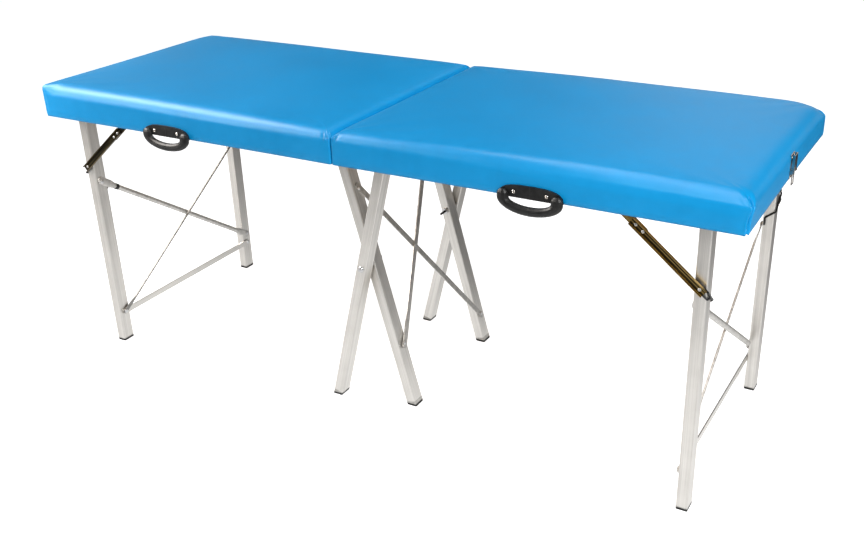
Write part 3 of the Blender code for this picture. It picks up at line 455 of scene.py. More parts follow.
def yellow_zinc():
    zinc = Finish("yellow_zinc", Metallic=1.0)
    rainbow = zinc.noise(17.0, 2.0)
    fine = zinc.noise(300.0)
    gold = rainbow.ramp(
        (0.30, (0.13, 0.10, 0.045)), (0.46, (0.40, 0.27, 0.08)),
        (0.58, (0.50, 0.32, 0.10)), (0.72, (0.22, 0.20, 0.085)),
    )
    return zinc.done(gold, 0.17 + fine * 0.16, fine, 0.00006, 0.4)


def stay_zinc_with_painted_shade(side, way, painted_light_level):
    """Yellow zinc of a stay: gold edges, painted shade in its trough, a painted highlight line down its middle."""
    pivot = joint_at[f"{side}_near_stay_swing"]
    hook = end_mean(f"{side}_near_stay_channel", 0, way < 0, CHANNEL_END)
    fall = math.atan2(pivot.z - hook.z, abs(hook.x - pivot.x))
    zinc = Finish(f"{side}_stay_zinc_with_painted_shade", Metallic=1.0)
    inputs = {0: zinc.place, 1: (pivot.x, 0.0, pivot.z)}
    centred = zinc.add("ShaderNodeVectorMath", {"operation": "SUBTRACT"}, inputs)
    inputs = {"Vector": centred, "Rotation": (0.0, -way * fall, 0.0)}
    laid = zinc.add("ShaderNodeMapping", None, inputs)
    inputs = {"Vector": laid, "Scale": (16.0, 260.0, 520.0)}
    streaks = zinc.noise(1.0, 4.0, zinc.add("ShaderNodeMapping", None, inputs))
    off_middle = abs(laid.axis("Z"))
    edge = off_middle.between(*CHANNEL_EDGE)
    painted_highlight_line = 1.0 - off_middle.between(*HIGHLIGHT_LINE_REACH)
    # The trough's near-black colour is painted shade.
    painted_trough_shade = streaks.ramp(
        (0.35, (0.008, 0.007, 0.005)), (0.55, (0.030, 0.025, 0.013)), (0.75, (0.10, 0.078, 0.033))
    )
    gold = streaks.ramp((0.35, (0.20, 0.14, 0.05)), (0.65, (0.60, 0.41, 0.14)))
    # Gold edges and the painted highlight line, all scaled by the side's painted light level.
    shine = painted_light_level * edge.maths("MAXIMUM", edge, painted_highlight_line * streaks * PAINTED_HIGHLIGHT_STRENGTH)
    return zinc.done(shine.mix(painted_trough_shade, gold), 0.24 + streaks * 0.2, streaks, 0.00006, 0.4)


def chrome():
    plate = Finish("chrome_plate", Metallic=1.0)
    smear = plate.noise(60.0, 4.0)
    mirror = smear.ramp((0.3, (0.33, 0.30, 0.27)), (0.7, (0.62, 0.58, 0.54)))
    return plate.done(mirror, 0.05 + smear * 0.16, plate.noise(900.0, 2.0), 0.00002, 0.3)


zinc, bright = yellow_zinc(), chrome()
# The left stay gets a low painted light level, so it is painted dark as shade. The right one gets a high one.
stays_with_painted_shade = {side: stay_zinc_with_painted_shade(side, way, 0.6 + 0.35 * way) for side, way in SIDES}
print("finishes", zinc.name, bright.name, *(made.name for made in stays_with_painted_shade.values()))

# %% [markdown]
# ## Plastic and wire
# Handles, feet and sleeves are moulded in black plastic, and the hooks are blackened wire. Flat
# black would show nothing of their form, so the plastic has a pebbled grain, dust in its gloss
# and, down the middle of each handle, the ridge where the two halves of its mould met.

# %% Plastic and wire
MOULD_LINE = (0.0004, 0.0010)  # the ridge falls off between these distances from its middle
MOULD_RIDGE = 2.0
DARK_BAND = (0.0054, 0.0060)  # the foot turns from near black to grey between these heights


def middle(name):
    """Middle of a node's box."""
    low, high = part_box(name)
    return (low + high) / 2


def moulded_plastic(name, middle_x=None):
    """Pebbled black plastic, with a parting line at middle_x if given."""
    shell = Finish(name, Specular_IOR_Level=0.34)
    pebble = shell.add("ShaderNodeTexVoronoi", None, {"Vector": shell.place, "Scale": 620.0})
    dust = shell.noise(70.0, 5.0)
    height = pebble * 0.5
    if middle_x is not None:
        off_line = abs(shell.place.axis("X") - middle_x)
        height = height + (1.0 - off_line.between(*MOULD_LINE)) * MOULD_RIDGE
    black = dust.ramp((0.35, 0.005), (0.75, 0.015))
    return shell.done(black, 0.32 + dust * 0.18, height, 0.0003, 0.6)


def foot_dark_below():
    """Foot plug: a grey collar in the tube's mouth, near black in its lowest few millimetres."""
    foot = Finish("foot_dark_below", Specular_IOR_Level=0.3)
    dust = foot.noise(120.0, 4.0)
    dark_bottom = dust.ramp((0.35, 0.006), (0.75, 0.02))
    collar = dust.ramp((0.35, (0.40, 0.39, 0.37)), (0.75, (0.52, 0.51, 0.48)))
    colour = foot.place.axis("Z").between(*DARK_BAND).mix(dark_bottom, collar)
    return foot.done(colour, 0.42 + dust * 0.2, dust, 0.0002, 0.4)


def blackened_wire():
    wire = Finish("blackened_wire", Metallic=0.2, Specular_IOR_Level=0.3)
    worn = wire.noise(160.0, 4.0)
    black = worn.ramp((0.4, 0.005), (0.8, 0.025))
    return wire.done(black, 0.28 + worn * 0.2, worn, 0.00006, 0.5)


moulding, wire_black, plug = moulded_plastic("black_moulding"), blackened_wire(), foot_dark_below()
grips = {side: moulded_plastic(f"{side}_grip", middle(f"{side}_handle").x) for side, _ in SIDES}
print("finishes", moulding.name, wire_black.name, plug.name)

# %% [markdown]
# ## Finishes on the CAD pieces
# The record says which slot each node uses, and a slot has one usual finish. A node whose name ends
# in one of the words below gets its own: legs the aluminium whose drawn lines follow them, say.

# %% Assign the finishes
by_slot = {
    "blue_vinyl": vinyl, "plywood": pine, "satin_aluminium": crosswise, "bright_steel": steel,
    "black_plastic": moulding, "yellow_zinc": zinc, "black_wire": wire_black, "chrome": bright,
}
by_last_word = {
    "board": plywood, "foot": plug, "tube": dull_tube, "falling": strip, "rising": strip,
    "leg": {"left": upright, "right": upright, **leaning}, "handle": grips, "rod": rods_painted_shading,
    # The left stay's bar shares that stay's painted shade.
    "channel": stays_with_painted_shade, "bar": {"left": stays_with_painted_shade["left"]},
}
for part in frame["record"]["subparts"]:
    first, *_, last = part["node"].split("_")
    usual = by_slot[part["material_slot"]]
    material = by_last_word.get(last, usual)
    if isinstance(material, dict):
        material = material.get(first, usual)
    coats = nodes[part["node"]].data.materials
    coats.clear()
    coats.append(material)

# %% [markdown]
# ## Padded covers
# Each half is a foam pad under one sheet of vinyl, pulled over the edges and stapled below the
# rails. A voxel remesh would lose the thin skirt, so the sheet is a grid laid on the CAD form: a
# patch for the top, then rows that go round the rim, down the skirt and under the rail. Cloth
# with a little air pressure swells it between its pinned edges, and the folds that a cutter would
# see at the corners and the seam are pressed in after that. A closed underside turns the sheet
# into a pad that sits on its board.

# %% Curves for a cover's grid
HALF_ARC_STEPS = 6
FINE_STEP = 0.0013
COARSE_STEP = 0.014
STEP_GROWTH = 1.25


def smooth(value, low, high):
    """0 below low, 1 above high, smooth between."""
    share = min(max((value - low) / (high - low), 0.0), 1.0)
    return share * share * (3 - 2 * share)


def graded(length):
    """Shares of a straight side, close together near its ends."""
    steps, step, total = [], FINE_STEP, 0.0
    while total + step < length / 2:
        steps.append(step)
        total += step
        step = min(step * STEP_GROWTH, COARSE_STEP)
    marks, place = [], 0.0
    for step in steps[:-1]:
        place += step * length / 2 / total
        marks.append(place / length)
    return marks + [0.5] + [1 - mark for mark in reversed(marks)]


def side_points(a, b, inward, radii, marks):
    """A side of a rounded rectangle, from mid corner to mid corner."""
    run = (b - a).normalized()
    first, last = a + (run + inward) * radii[0], b + (inward - run) * radii[1]
    arc = [math.radians(45 * (1 - i / HALF_ARC_STEPS)) for i in range(HALF_ARC_STEPS + 1)]
    points = [first - radii[0] * (math.sin(t) * run + math.cos(t) * inward) for t in arc]
    start, end = points[-1], last - radii[1] * inward
    points += [start.lerp(end, mark) for mark in marks]
    points += [last + radii[1] * (math.sin(t) * run - math.cos(t) * inward) for t in reversed(arc)]
    return points


def bezier(points, t):
    """Point of a cubic curve through (inset, drop) controls."""
    weights = ((1 - t) ** 3, 3 * t * (1 - t) ** 2, 3 * t * t * (1 - t), t ** 3)
    return [sum(w * p[axis] for w, p in zip(weights, points)) for axis in (0, 1)]


print("marks on a side of 0.6 m:", len(graded(0.6)))

# %% [markdown]
# The rim is one curve from the top to the skirt, blended from three shapes: rounded almost
# everywhere, sloped on the handle side towards the latch, and tight at the left end and the seam.
# Blending the curve's controls keeps every row in step, where separate pieces would need seams.

# %% Lay out a cover's grid
RIM_WIDTH = 0.036  # the top starts to fall this far from the side
RIM_ROWS = 10
SKIRT_ROWS = 12
SIDE_ROWS = RIM_ROWS + SKIRT_ROWS
ROUND_RIM = ((RIM_WIDTH, 0.0), (0.011, 0.0), (0.0, 0.009), (0.0, 0.024))
SLOPED_RIM = ((RIM_WIDTH, 0.0), (0.024, 0.0), (0.016, 0.0105), (0.0, 0.0215))
SHARP_RIM = ((RIM_WIDTH, 0.0), (0.004, 0.0), (0.0, 0.003), (0.0, 0.015))
SLOPE_SHARE = 0.85
SLOPE_RUN = (0.15, 0.75)  # the slope grows between these places along the table
SLOPE_DEPTH = (0.004, 0.034)  # and fades between these distances from the handle side
SEAM_SHARPNESS = 0.55
SHARP_REACH = {-1: (0.02, 0.35), 1: (0.25, 0.75)}  # it fades between these distances from the seam
SHARP_END = 0.05
END_CORNER = 0.012  # plan radius of the outer corners
SEAM_CORNER = 0.005
SKIRT_DRAW = 0.0022  # the skirt is drawn in this far between its corners
CROWN_ROOM = 0.005  # left above the rim for the bow and the swelling
BOW = 0.004  # the pad is this much higher half way along than at its seam and its end
LEFT_LIFT = (0.009, 0.006)  # the left pad is thicker at its end, near and far


class Cover:
    """The sheet of one half: a patch for its top, then closed rows down to its foot."""

    def __init__(self, low, high, way):
        self.low, self.high, self.way = low, high, way
        self.seam = low.x if way > 0 else high.x
        self.end = high.x if way > 0 else low.x
        self.rim = high.z - CROWN_ROOM
        inside = 2 * RIM_WIDTH + END_CORNER
        self.marks = (
            graded(high.x - low.x - inside - SEAM_CORNER),
            graded(high.y - low.y - inside - END_CORNER),
        )
        self.outer, self.inner = self.ring(0.0), self.ring(RIM_WIDTH)
        near, end, far, _ = (len(side) - 1 for side in self.sides(0.0))
        self.corners = {"near_seam": 0, "near_end": near, "far_end": near + end}
        self.corners["far_seam"] = near + end + far

    def sides(self, inset):
        """Near, end, far and seam side of the outline at an inset, as flat points."""
        x0, x1 = self.seam + self.way * inset, self.end - self.way * inset
        y0, y1 = self.low.y + inset, self.high.y - inset
        corners = [Vector((x, y, 0)) for x, y in ((x0, y0), (x1, y0), (x1, y1), (x0, y1))]
        along, deep = Vector((self.way, 0, 0)), Vector((0, 1, 0))
        radii = (SEAM_CORNER, END_CORNER, END_CORNER, SEAM_CORNER)
        plan = ((0, 1, deep), (1, 2, -along), (3, 2, -deep), (0, 3, along))
        return [
            side_points(corners[a], corners[b], inward, (radii[a], radii[b]), self.marks[k % 2])
            for k, (a, b, inward) in enumerate(plan)
        ]

    def ring(self, inset):
        """The outline as one closed row, drawn in between its corners at the skirt."""
        near, end, far, seam = self.sides(inset)
        row = near[:-1] + end[:-1] + far[::-1][:-1] + seam[::-1][:-1]
        if inset:
            return row
        centre = (self.low + self.high) / 2
        half = (self.high - self.low) / 2
        drawn = []
        for point in row:
            u, v = (point.x - centre.x) / half.x, (point.y - centre.y) / half.y
            pull = Vector(((1 - v * v) * u ** 7, (1 - u * u) * v ** 7, 0)) * SKIRT_DRAW
            drawn.append(point - pull)
        return drawn

    def bow(self, point):
        """Height of the pad above its rim line."""
        u = 2 * (point.x - self.seam) / (self.end - self.seam) - 1
        v = (point.y - self.low.y) / (self.high.y - self.low.y)
        near, far = LEFT_LIFT if self.way < 0 else (0.0, 0.0)
        return BOW * (1 - u * u) + (near + (far - near) * v) * ((u + 1) / 2) ** 1.5

    def slope(self, point):
        """How far the rim slopes instead of rolling."""
        inward = smooth(point.y - self.low.y, *SLOPE_DEPTH)
        return SLOPE_SHARE * smooth(point.x, *SLOPE_RUN) * (1 - inward)

    def sharpness(self, point):
        """How far the rim is a tight edge."""
        away = smooth(abs(point.x - self.seam), *SHARP_REACH[self.way])
        end = abs(self.end)
        at_end = smooth(-point.x, end - SHARP_END, end) if self.way < 0 else 0.0
        return SEAM_SHARPNESS * (1 - away) + at_end

    def rows(self):
        """Rows of points from inside the rim, over it and down the skirt."""
        shares = [(self.slope(point), self.sharpness(point)) for point in self.outer]
        made = []
        for row in range(1, SIDE_ROWS + 1):
            points = []
            for out, inner, (slope, sharp) in zip(self.outer, self.inner, shares):
                controls = [
                    [a + (b - a) * slope + (c - a) * sharp for a, b, c in zip(*control)]
                    for control in zip(ROUND_RIM, SLOPED_RIM, SHARP_RIM)
                ]
                inset, drop = bezier(controls, min(row / RIM_ROWS, 1.0))
                point = out.lerp(inner, inset / RIM_WIDTH)
                top = self.rim + self.bow(point) - drop
                point.z = top + (self.low.z - top) * max(row - RIM_ROWS, 0) / SKIRT_ROWS
                points.append(point)
            made.append(points)
        return made

    def patch(self):
        """The top as a grid of points inside the rim."""
        near, end, far, seam = self.sides(RIM_WIDTH)
        us = [(p - near[0]).length / (near[-1] - near[0]).length for p in near]
        vs = [(p - seam[0]).length / (seam[-1] - seam[0]).length for p in seam]
        grid = []
        for j, v in enumerate(vs):
            row = []
            for i, u in enumerate(us):
                across = near[i].lerp(far[i], v) + seam[j].lerp(end[j], u)
                corners = near[0].lerp(near[-1], u).lerp(far[0].lerp(far[-1], u), v)
                point = across - corners
                point.z = self.rim + self.bow(point)
                row.append(point)
            grid.append(row)
        return grid


covers = {side: Cover(*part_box(f"{side}_cushion"), way) for side, way in SIDES}
print("points round a cover", len(covers["left"].outer), "in", SIDE_ROWS, "rows")

# %% [markdown]
# The grid becomes a mesh, with its foot and hem in a pin group for the cloth. The hem turns under
# the rail on three sides. On the seam side it stops short, because the hinge sits there.

# %% Turn the grid into a sheet
HEM_WIDTH = 0.022
HEM_DEPTH = 0.0012
HEM_ROWS = 4
HEM_FREE = (0.004, 0.030)  # the hem grows to its width over this distance from the seam
HEM_SLIVER = 0.02  # share of the hem's width that is left at the seam


def carry(bm, row, levels):
    """Carry a closed row of vertices through rows of points; returns the rows made."""
    made = []
    for points in levels:
        fresh = [bm.verts.new(point) for point in points]
        for corners in zip(row, row[1:] + row[:1], fresh[1:] + fresh[:1], fresh):
            bm.faces.new(corners)
        row = fresh
        made.append(row)
    return made


def mesh_object(bm, name):
    """Turn a mesh's faces outwards and put it in the scene; returns its object."""
    bmesh.ops.recalc_face_normals(bm, faces=bm.faces)
    mesh = bpy.data.meshes.new(name)
    bm.to_mesh(mesh)
    bm.free()
    return put_in_scene(name, mesh)


def cover_sheet(cover, name):
    """Mesh object of the sheet, and the vertices of its hem's edge."""
    bm = bmesh.new()
    grid = [[bm.verts.new(point) for point in row] for row in cover.patch()]
    for low, high in zip(grid, grid[1:]):
        for corners in zip(low, low[1:], high[1:], high):
            bm.faces.new(corners)
    row = grid[0][:-1] + [r[-1] for r in grid[:-1]] + grid[-1][:0:-1] + [r[0] for r in grid[:0:-1]]
    levels = cover.rows()
    for step in range(1, HEM_ROWS + 1):
        hem = []
        for edge, out, inner in zip(levels[SIDE_ROWS - 1], cover.outer, cover.inner):
            free = smooth(abs(edge.x - cover.seam), *HEM_FREE)
            reach = HEM_WIDTH / RIM_WIDTH * step / HEM_ROWS * (HEM_SLIVER + (1 - HEM_SLIVER) * free)
            point = out.lerp(inner, reach)
            point.z = cover.low.z - HEM_DEPTH * free * min(1.0, 2 * step / HEM_ROWS)
            hem.append(point)
        levels.append(hem)
    made = carry(bm, row, levels)
    bm.verts.index_update()
    held = [[vertex.index for vertex in row] for row in made[SIDE_ROWS - 1:]]
    sheet = mesh_object(bm, name)
    sheet.vertex_groups.new(name="held").add(sum(held, []), 1.0, "REPLACE")
    return sheet, held[-1]


print("rows below the top", SIDE_ROWS + HEM_ROWS)

# %% [markdown]
# The cloth step swells the sheet. Free cloth would rise too far for firm foam, so its shape is kept
# and its height is brought down to the crown of the pad. Sideways moves are capped.

# %% Swell a sheet
CLOTH = {
    "use_pressure": True, "uniform_pressure_force": 0.3, "tension_stiffness": 25.0,
    "bending_stiffness": 2.0, "quality": 4, "vertex_group_mass": "held",
}
CLOTH_FRAMES = 20
CROWN = 0.0045
SIDE_CAP = 0.0016
SEAM_ROOM = 0.0001


def off_the_seam(point, cover):
    """Keep a point on its own side of the seam."""
    limit = cover.seam + cover.way * SEAM_ROOM
    point.x = max(point.x, limit) if cover.way > 0 else min(point.x, limit)


def swell(sheet, cover):
    """Run the cloth, then move each vertex by the capped result."""
    rest = [vertex.co.copy() for vertex in sheet.data.vertices]
    cloth = sheet.modifiers.new("cloth", "CLOTH")
    for name, value in CLOTH.items():
        setattr(cloth.settings, name, value)
    cloth.settings.effector_weights.gravity = 0.0
    cloth.point_cache.frame_start = 1
    cloth.point_cache.frame_end = CLOTH_FRAMES
    scene = bpy.context.scene
    for step in range(1, CLOTH_FRAMES + 1):
        scene.frame_set(step)
    view = bpy.context.evaluated_depsgraph_get()
    swollen = [vertex.co.copy() for vertex in sheet.evaluated_get(view).data.vertices]
    sheet.modifiers.clear()
    scene.frame_set(1)
    highest = max(after.z - before.z for before, after in zip(rest, swollen))
    for vertex, before, after in zip(sheet.data.vertices, rest, swollen):
        move = after - before
        flat = Vector((move.x, move.y, 0))
        if flat.length > SIDE_CAP:
            flat *= SIDE_CAP / flat.length
        vertex.co = before + flat + Vector((0, 0, move.z * CROWN / highest))
        off_the_seam(vertex.co, cover)
    print(sheet.name, "rose", round(highest * 1000, 1), "mm, brought down to", CROWN * 1000)


# %% [markdown]
# Upholstery shows its making at the corners. The spare vinyl is folded into a pleat down each
# outer corner, it crumples a little where the halves meet, and the top falls away to the corners.
# Each fold is a bell-shaped groove across the row of points, so it is real geometry, not a bump.

# %% Shape the pleats and crumples
PLEAT_DEPTH = 0.0060
PLEATS = (("near_end", 1, 1.0), ("far_end", -1, 0.5))  # (corner, way round, share of the depth)
PLEAT_PLACE = (0.002, 0.004)  # from the corner at the foot, and how much further at the top
PLEAT_START = (0.22, 0.32)  # the pleat opens between these levels, at the turn of the rim
PLEAT_FOOT = (0.9, 1.0)  # and half closes between these
PLEAT_WAVES = ((1.0, 0.0, 0.0024), (-0.4, -0.0052, 0.0026), (-0.3, 0.0052, 0.0026))
TUCK_WAVE = (0.5, 0.0075, 0.0018)  # (depth, place, width), as the waves above
TUCK_END = (0.42, 0.56)
CRUMPLE_DEPTH = 0.0040
CRUMPLE_SPAN = (0.20, 0.30, 0.38, 0.52)
CRUMPLES = ((0.0045, -1.0), (0.0085, 0.6), (0.013, -0.8), (0.019, 0.35))  # (place, push)
CRUMPLE_WIDTH = 0.0016
CRUMPLE_DRIFT = 0.004


def bell(value, width):
    """A smooth bump of height 1."""
    return math.exp(-(value / width) ** 2)


def corner_places(cover):
    """For each corner, how far round the skirt every point of a row lies from it."""
    row = cover.outer
    lengths = [0.0]
    for a, b in zip(row, row[1:] + row[:1]):
        lengths.append(lengths[-1] + (b - a).length)
    whole = lengths.pop()
    return {
        name: [(length - lengths[index] + whole / 2) % whole - whole / 2 for length in lengths]
        for name, index in cover.corners.items()
    }


def fold_push(places, i, level):
    """Outward push of the folds at point i of a row, level 0 inside the rim and 1 at the foot."""
    push = 0.0
    opening = smooth(level, *PLEAT_START) * (1 - 0.5 * smooth(level, *PLEAT_FOOT))
    for corner, way, share in PLEATS:
        s = way * places[corner][i] - PLEAT_PLACE[0] - PLEAT_PLACE[1] * (1 - level)
        groove = sum(depth * bell(s - place, width) for depth, place, width in PLEAT_WAVES)
        depth, place, width = TUCK_WAVE
        groove += depth * bell(s - place, width) * (1 - smooth(level, *TUCK_END))
        push -= PLEAT_DEPTH * share * groove * opening
    window = smooth(level, *CRUMPLE_SPAN[:2]) * (1 - smooth(level, *CRUMPLE_SPAN[2:]))
    drift = CRUMPLE_DRIFT * (level - CRUMPLE_SPAN[1])
    for corner in ("near_seam", "far_seam"):
        for place, sign in CRUMPLES:
            wave = bell(abs(places[corner][i]) - place - drift, CRUMPLE_WIDTH)
            push += sign * CRUMPLE_DEPTH * wave * window
    return push


print("pleat", PLEAT_DEPTH * 1000, "mm deep, crumples", len(CRUMPLES), "each way")

# %% Press them into a sheet
CORNER_FALLS = {"left_near": 0.0, "left_far": 0.004, "right_near": 0.001, "right_far": 0.010}
CORNER_REACH = 0.046
SEAM_FALLS = {"near": 0.0035, "far": 0.0010}
SEAM_REACH = (0.020, 0.040)  # from the seam, and from the near or far side
FAR_TUCK = 0.007  # the far right corner is drawn in at its top
TUCK_DROP = 0.028
NEAR_LEAN = 0.009  # and the near right one leans out
SLACK = 0.0007
SLACK_SCALE = (4.2, 5.1, 7.0)
MOVED_FROM = 0.25  # below this share of the height nothing falls or leans


def press_folds(sheet, cover):
    """Move the sheet's vertices by its folds, its falls to the corners and its slack."""
    sheet.data.update()
    outward = [vertex.normal.copy() for vertex in sheet.data.vertices]
    places = corner_places(cover)
    count = len(cover.outer)
    first = len(sheet.data.vertices) - count * (SIDE_ROWS + HEM_ROWS)
    height = cover.rim - cover.low.z
    for vertex in sheet.data.vertices:
        p = vertex.co
        row, i = divmod(vertex.index - first, count)
        push = fold_push(places, i, (row + 1) / SIDE_ROWS) if 0 <= row < SIDE_ROWS else 0.0
        up_share = smooth(p.z, cover.low.z + MOVED_FROM * height, cover.rim)
        from_seam, from_end = abs(p.x - cover.seam), abs(p.x - cover.end)
        edge = "near" if p.y < (cover.low.y + cover.high.y) / 2 else "far"
        from_edge = min(p.y - cover.low.y, cover.high.y - p.y)
        corner = "_".join(("right" if cover.way > 0 else "left", edge))
        spot = [scale * at for scale, at in zip(SLACK_SCALE, (p.x, p.y, cover.way))]
        push += SLACK * noise.noise(spot) * up_share
        at_corner = bell(math.hypot(from_end, from_edge), CORNER_REACH)
        fall = CORNER_FALLS[corner] * at_corner
        fall += SEAM_FALLS[edge] * bell(from_seam, SEAM_REACH[0]) * bell(from_edge, SEAM_REACH[1])
        tuck = lean = 0.0
        if corner == "right_far":
            tuck = FAR_TUCK * at_corner * smooth(p.z, cover.rim - TUCK_DROP, cover.rim)
        elif corner == "right_near":
            lean = NEAR_LEAN * at_corner * up_share
        moved = Vector((lean - tuck, -tuck, -fall * up_share))
        vertex.co = p + outward[vertex.index] * push + moved
        off_the_seam(vertex.co, cover)


print("corners fall up to", max(CORNER_FALLS.values()) * 1000, "mm")

# %% [markdown]
# The inside follows the board and the rails, so the pad is a closed form with a real thickness.

# %% Close the pads and seat them
WALL = 0.0046
ROOF_GAP = 0.0004
SHELF_RISE, FOOT_RISE = 0.6, 0.2  # shares of the hem's depth


def wall_point(point, xs, ys):
    """Nearest point of the inside walls, seen from above."""
    moved = Vector((min(max(point.x, xs[0]), xs[1]), min(max(point.y, ys[0]), ys[1]), 0))
    gaps = {(0, x): abs(moved.x - x) for x in xs} | {(1, y): abs(moved.y - y) for y in ys}
    axis, value = min(gaps, key=gaps.get)
    moved[axis] = value
    return moved


def close_pad(sheet, cover, hem_edge, roof):
    """Carry the hem's edge up round the rails and over the board, and close it there."""
    bm = bmesh.new()
    bm.from_mesh(sheet.data)
    bm.verts.ensure_lookup_table()
    row = [bm.verts[i] for i in hem_edge]
    xs = sorted((cover.seam + cover.way * WALL, cover.end - cover.way * WALL))
    ys = (cover.low.y + WALL, cover.high.y - WALL)
    walls = [wall_point(vertex.co, xs, ys) for vertex in row]
    shelf = [vertex.co + Vector((0, 0, HEM_DEPTH * SHELF_RISE)) for vertex in row]
    foot = [(w.x, w.y, cover.low.z + HEM_DEPTH * FOOT_RISE) for w in walls]
    top = [(w.x, w.y, roof) for w in walls]
    bm.faces.new(carry(bm, row, (shelf, foot, top))[-1])
    bmesh.ops.recalc_face_normals(bm, faces=bm.faces)
    bm.to_mesh(sheet.data)
    bm.free()


for side, _ in SIDES:
    cover = covers[side]
    pad, hem_edge = cover_sheet(cover, f"{side}_padded_cover")
    swell(pad, cover)
    press_folds(pad, cover)
    close_pad(pad, cover, hem_edge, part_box(f"{side}_board")[1].z + ROOF_GAP)
    for face in pad.data.polygons:
        face.use_smooth = True
    pad.data.materials.append(vinyl)
    pad.vertex_groups.clear()
    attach(pad, f"{side}_half")
    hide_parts(f"{side}_cushion")
    print(pad.name, len(pad.data.polygons), "faces")

# %% [markdown]
# ## Small fasteners with Geometry Nodes
# Rivets, bolts, screws and staples repeat, so one node tree places them all. Each input point
# carries a turn as an Euler attribute. The tree puts a head on every point, makes the copies real
# and gives them their finish.


# %% Node tree that sets heads on points
def fastener_tree():
    tree = bpy.data.node_groups.new("fasteners", "GeometryNodeTree")
    for name, way, kind in (
        ("Points", "INPUT", "Geometry"), ("Head", "INPUT", "Object"), ("Size", "INPUT", "Float"),
        ("Finish", "INPUT", "Material"), ("Heads", "OUTPUT", "Geometry"),
    ):
        tree.interface.new_socket(name, in_out=way, socket_type=f"NodeSocket{kind}")

    def add(kind, **links):
        """Add a node with its inputs linked; returns its outputs."""
        node = tree.nodes.new(kind)
        for entry, socket in links.items():
            tree.links.new(socket, node.inputs[entry])
        return node.outputs

    turn = tree.nodes.new("GeometryNodeInputNamedAttribute")
    turn.data_type = "FLOAT_VECTOR"
    turn.inputs["Name"].default_value = "turn"
    given = add("NodeGroupInput")
    spin = add("FunctionNodeEulerToRotation", Euler=turn.outputs["Attribute"])
    head = add("GeometryNodeObjectInfo", Object=given["Head"])
    spread = add(
        "GeometryNodeInstanceOnPoints",
        Points=given["Points"], Instance=head["Geometry"], Rotation=spin[0], Scale=given["Size"],
    )
    real = add("GeometryNodeRealizeInstances", Geometry=spread[0])
    finish = add("GeometryNodeSetMaterial", Geometry=real[0], Material=given["Finish"])
    add("NodeGroupOutput", Heads=finish[0])
    return tree


fasteners = fastener_tree()
sockets = {item.name: item.identifier for item in fasteners.interface.items_tree}
print("fastener tree sockets", list(sockets))

# %% [markdown]
# A turned head is a profile spun round its axis, so a list of radii and heights describes it, and
# a screw thread is only a longer list. A staple is a bent wire. Rings of points joined in order
# make both, with a few dozen faces each.

# %% Heads turned on a lathe
HEAD_SIDES = {"bolt": 18, "stud": 12}
USUAL_SIDES = 16
THREAD_ROOT = 0.84


def lofted(name, rows):
    """A form through closed rows of points, with a flat face at both ends."""
    bm = bmesh.new()
    foot = [bm.verts.new(point) for point in rows[0]]
    top = carry(bm, foot, rows[1:])[-1]
    bm.faces.new(foot)
    bm.faces.new(top)
    return mesh_object(bm, name)


def lathe(name, profile, sides):
    """A head of unit radius from (radius, height) stations."""
    turns = [2 * math.pi * i / sides for i in range(sides)]
    head = lofted(name, [[(r * math.cos(t), r * math.sin(t), z) for t in turns] for r, z in profile])
    for face in head.data.polygons:
        face.use_smooth = len(face.vertices) == 4
    return head


def thread(pitch, length):
    """Stations of a thread, a root and a crest for each pitch."""
    return [(1.0 if k % 2 else THREAD_ROOT, k * pitch / 2) for k in range(2 * int(length / pitch))]


def staple_head():
    """Crown of a staple, one unit long, with its legs bent into the wood."""
    turns = [math.pi / 3 * k for k in range(6)]
    section = [(0.055 * math.cos(t), 0.045 * math.sin(t)) for t in turns]
    path = [(-0.5, -0.2), (-0.5, 0.0), (-0.44, 0.05), (0.44, 0.05), (0.5, 0.0), (0.5, -0.2)]
    rows = []
    for i, (x, z) in enumerate(path):
        before, after = path[max(i - 1, 0)], path[min(i + 1, len(path) - 1)]
        run = Vector((after[0] - before[0], 0, after[1] - before[1])).normalized()
        up_way = Vector((-run.z, 0, run.x))
        rows.append([Vector((x, v, z)) + up_way * w for v, w in section])
    return lofted("staple", rows)


dome = [(math.cos(t), 0.12 + 0.55 * math.sin(t)) for t in (math.radians(15 * k) for k in range(6))]
profiles = {
    "rivet": [(1.0, -0.05), (1.0, 0.12), *dome[1:]],
    "bolt": [
        (1.35, -0.05), (1.35, 0.14), (1.28, 0.18), (0.96, 0.18), (0.96, 0.68), (0.86, 0.8), (0.3, 0.82),
    ],
    "screw": [
        (1.0, -0.05), (1.0, 0.2), (0.92, 0.38), (0.66, 0.52), (0.36, 0.57), (0.34, 0.3), (0.1, 0.16),
    ],
    "flush": [(0.98, -0.2), (1.0, 0.06), (0.86, 0.12), (0.4, 0.13), (0.34, -0.08), (0.1, -0.12)],
    "low": [(1.0, -0.05), (1.0, 0.1), (0.85, 0.22), (0.5, 0.3), (0.2, 0.32)],
    "sleeve": [(0.97, 0.0), (1.15, 0.1), (1.15, 1.5), (0.97, 1.6)],
    "stud": [*thread(0.33, 6.6), (THREAD_ROOT, 6.6), (0.7, 6.9)],
}
heads = {
    kind: lathe(f"{kind}_head", profile, HEAD_SIDES.get(kind, USUAL_SIDES))
    for kind, profile in profiles.items()
}
heads["staple"] = staple_head()
print("heads", {kind: len(head.data.polygons) for kind, head in heads.items()})

# %% [markdown]
# A modifier runs the tree on a mesh of bare points. Its inputs are set by their identifiers before
# it is first evaluated. The result is kept as a plain mesh, one for each body, so the table's
# joints can carry it.


# %% Place heads and keep them as plain meshes
def turn_to(facing, along=None):
    """Euler turn that lays Z along facing and X as near along as can be."""
    z = Vector(facing).normalized()
    x = Vector(along) if along else z.orthogonal()
    x = (x - z * x.dot(z)).normalized()
    return Matrix((x, z.cross(x), z)).transposed().to_euler()


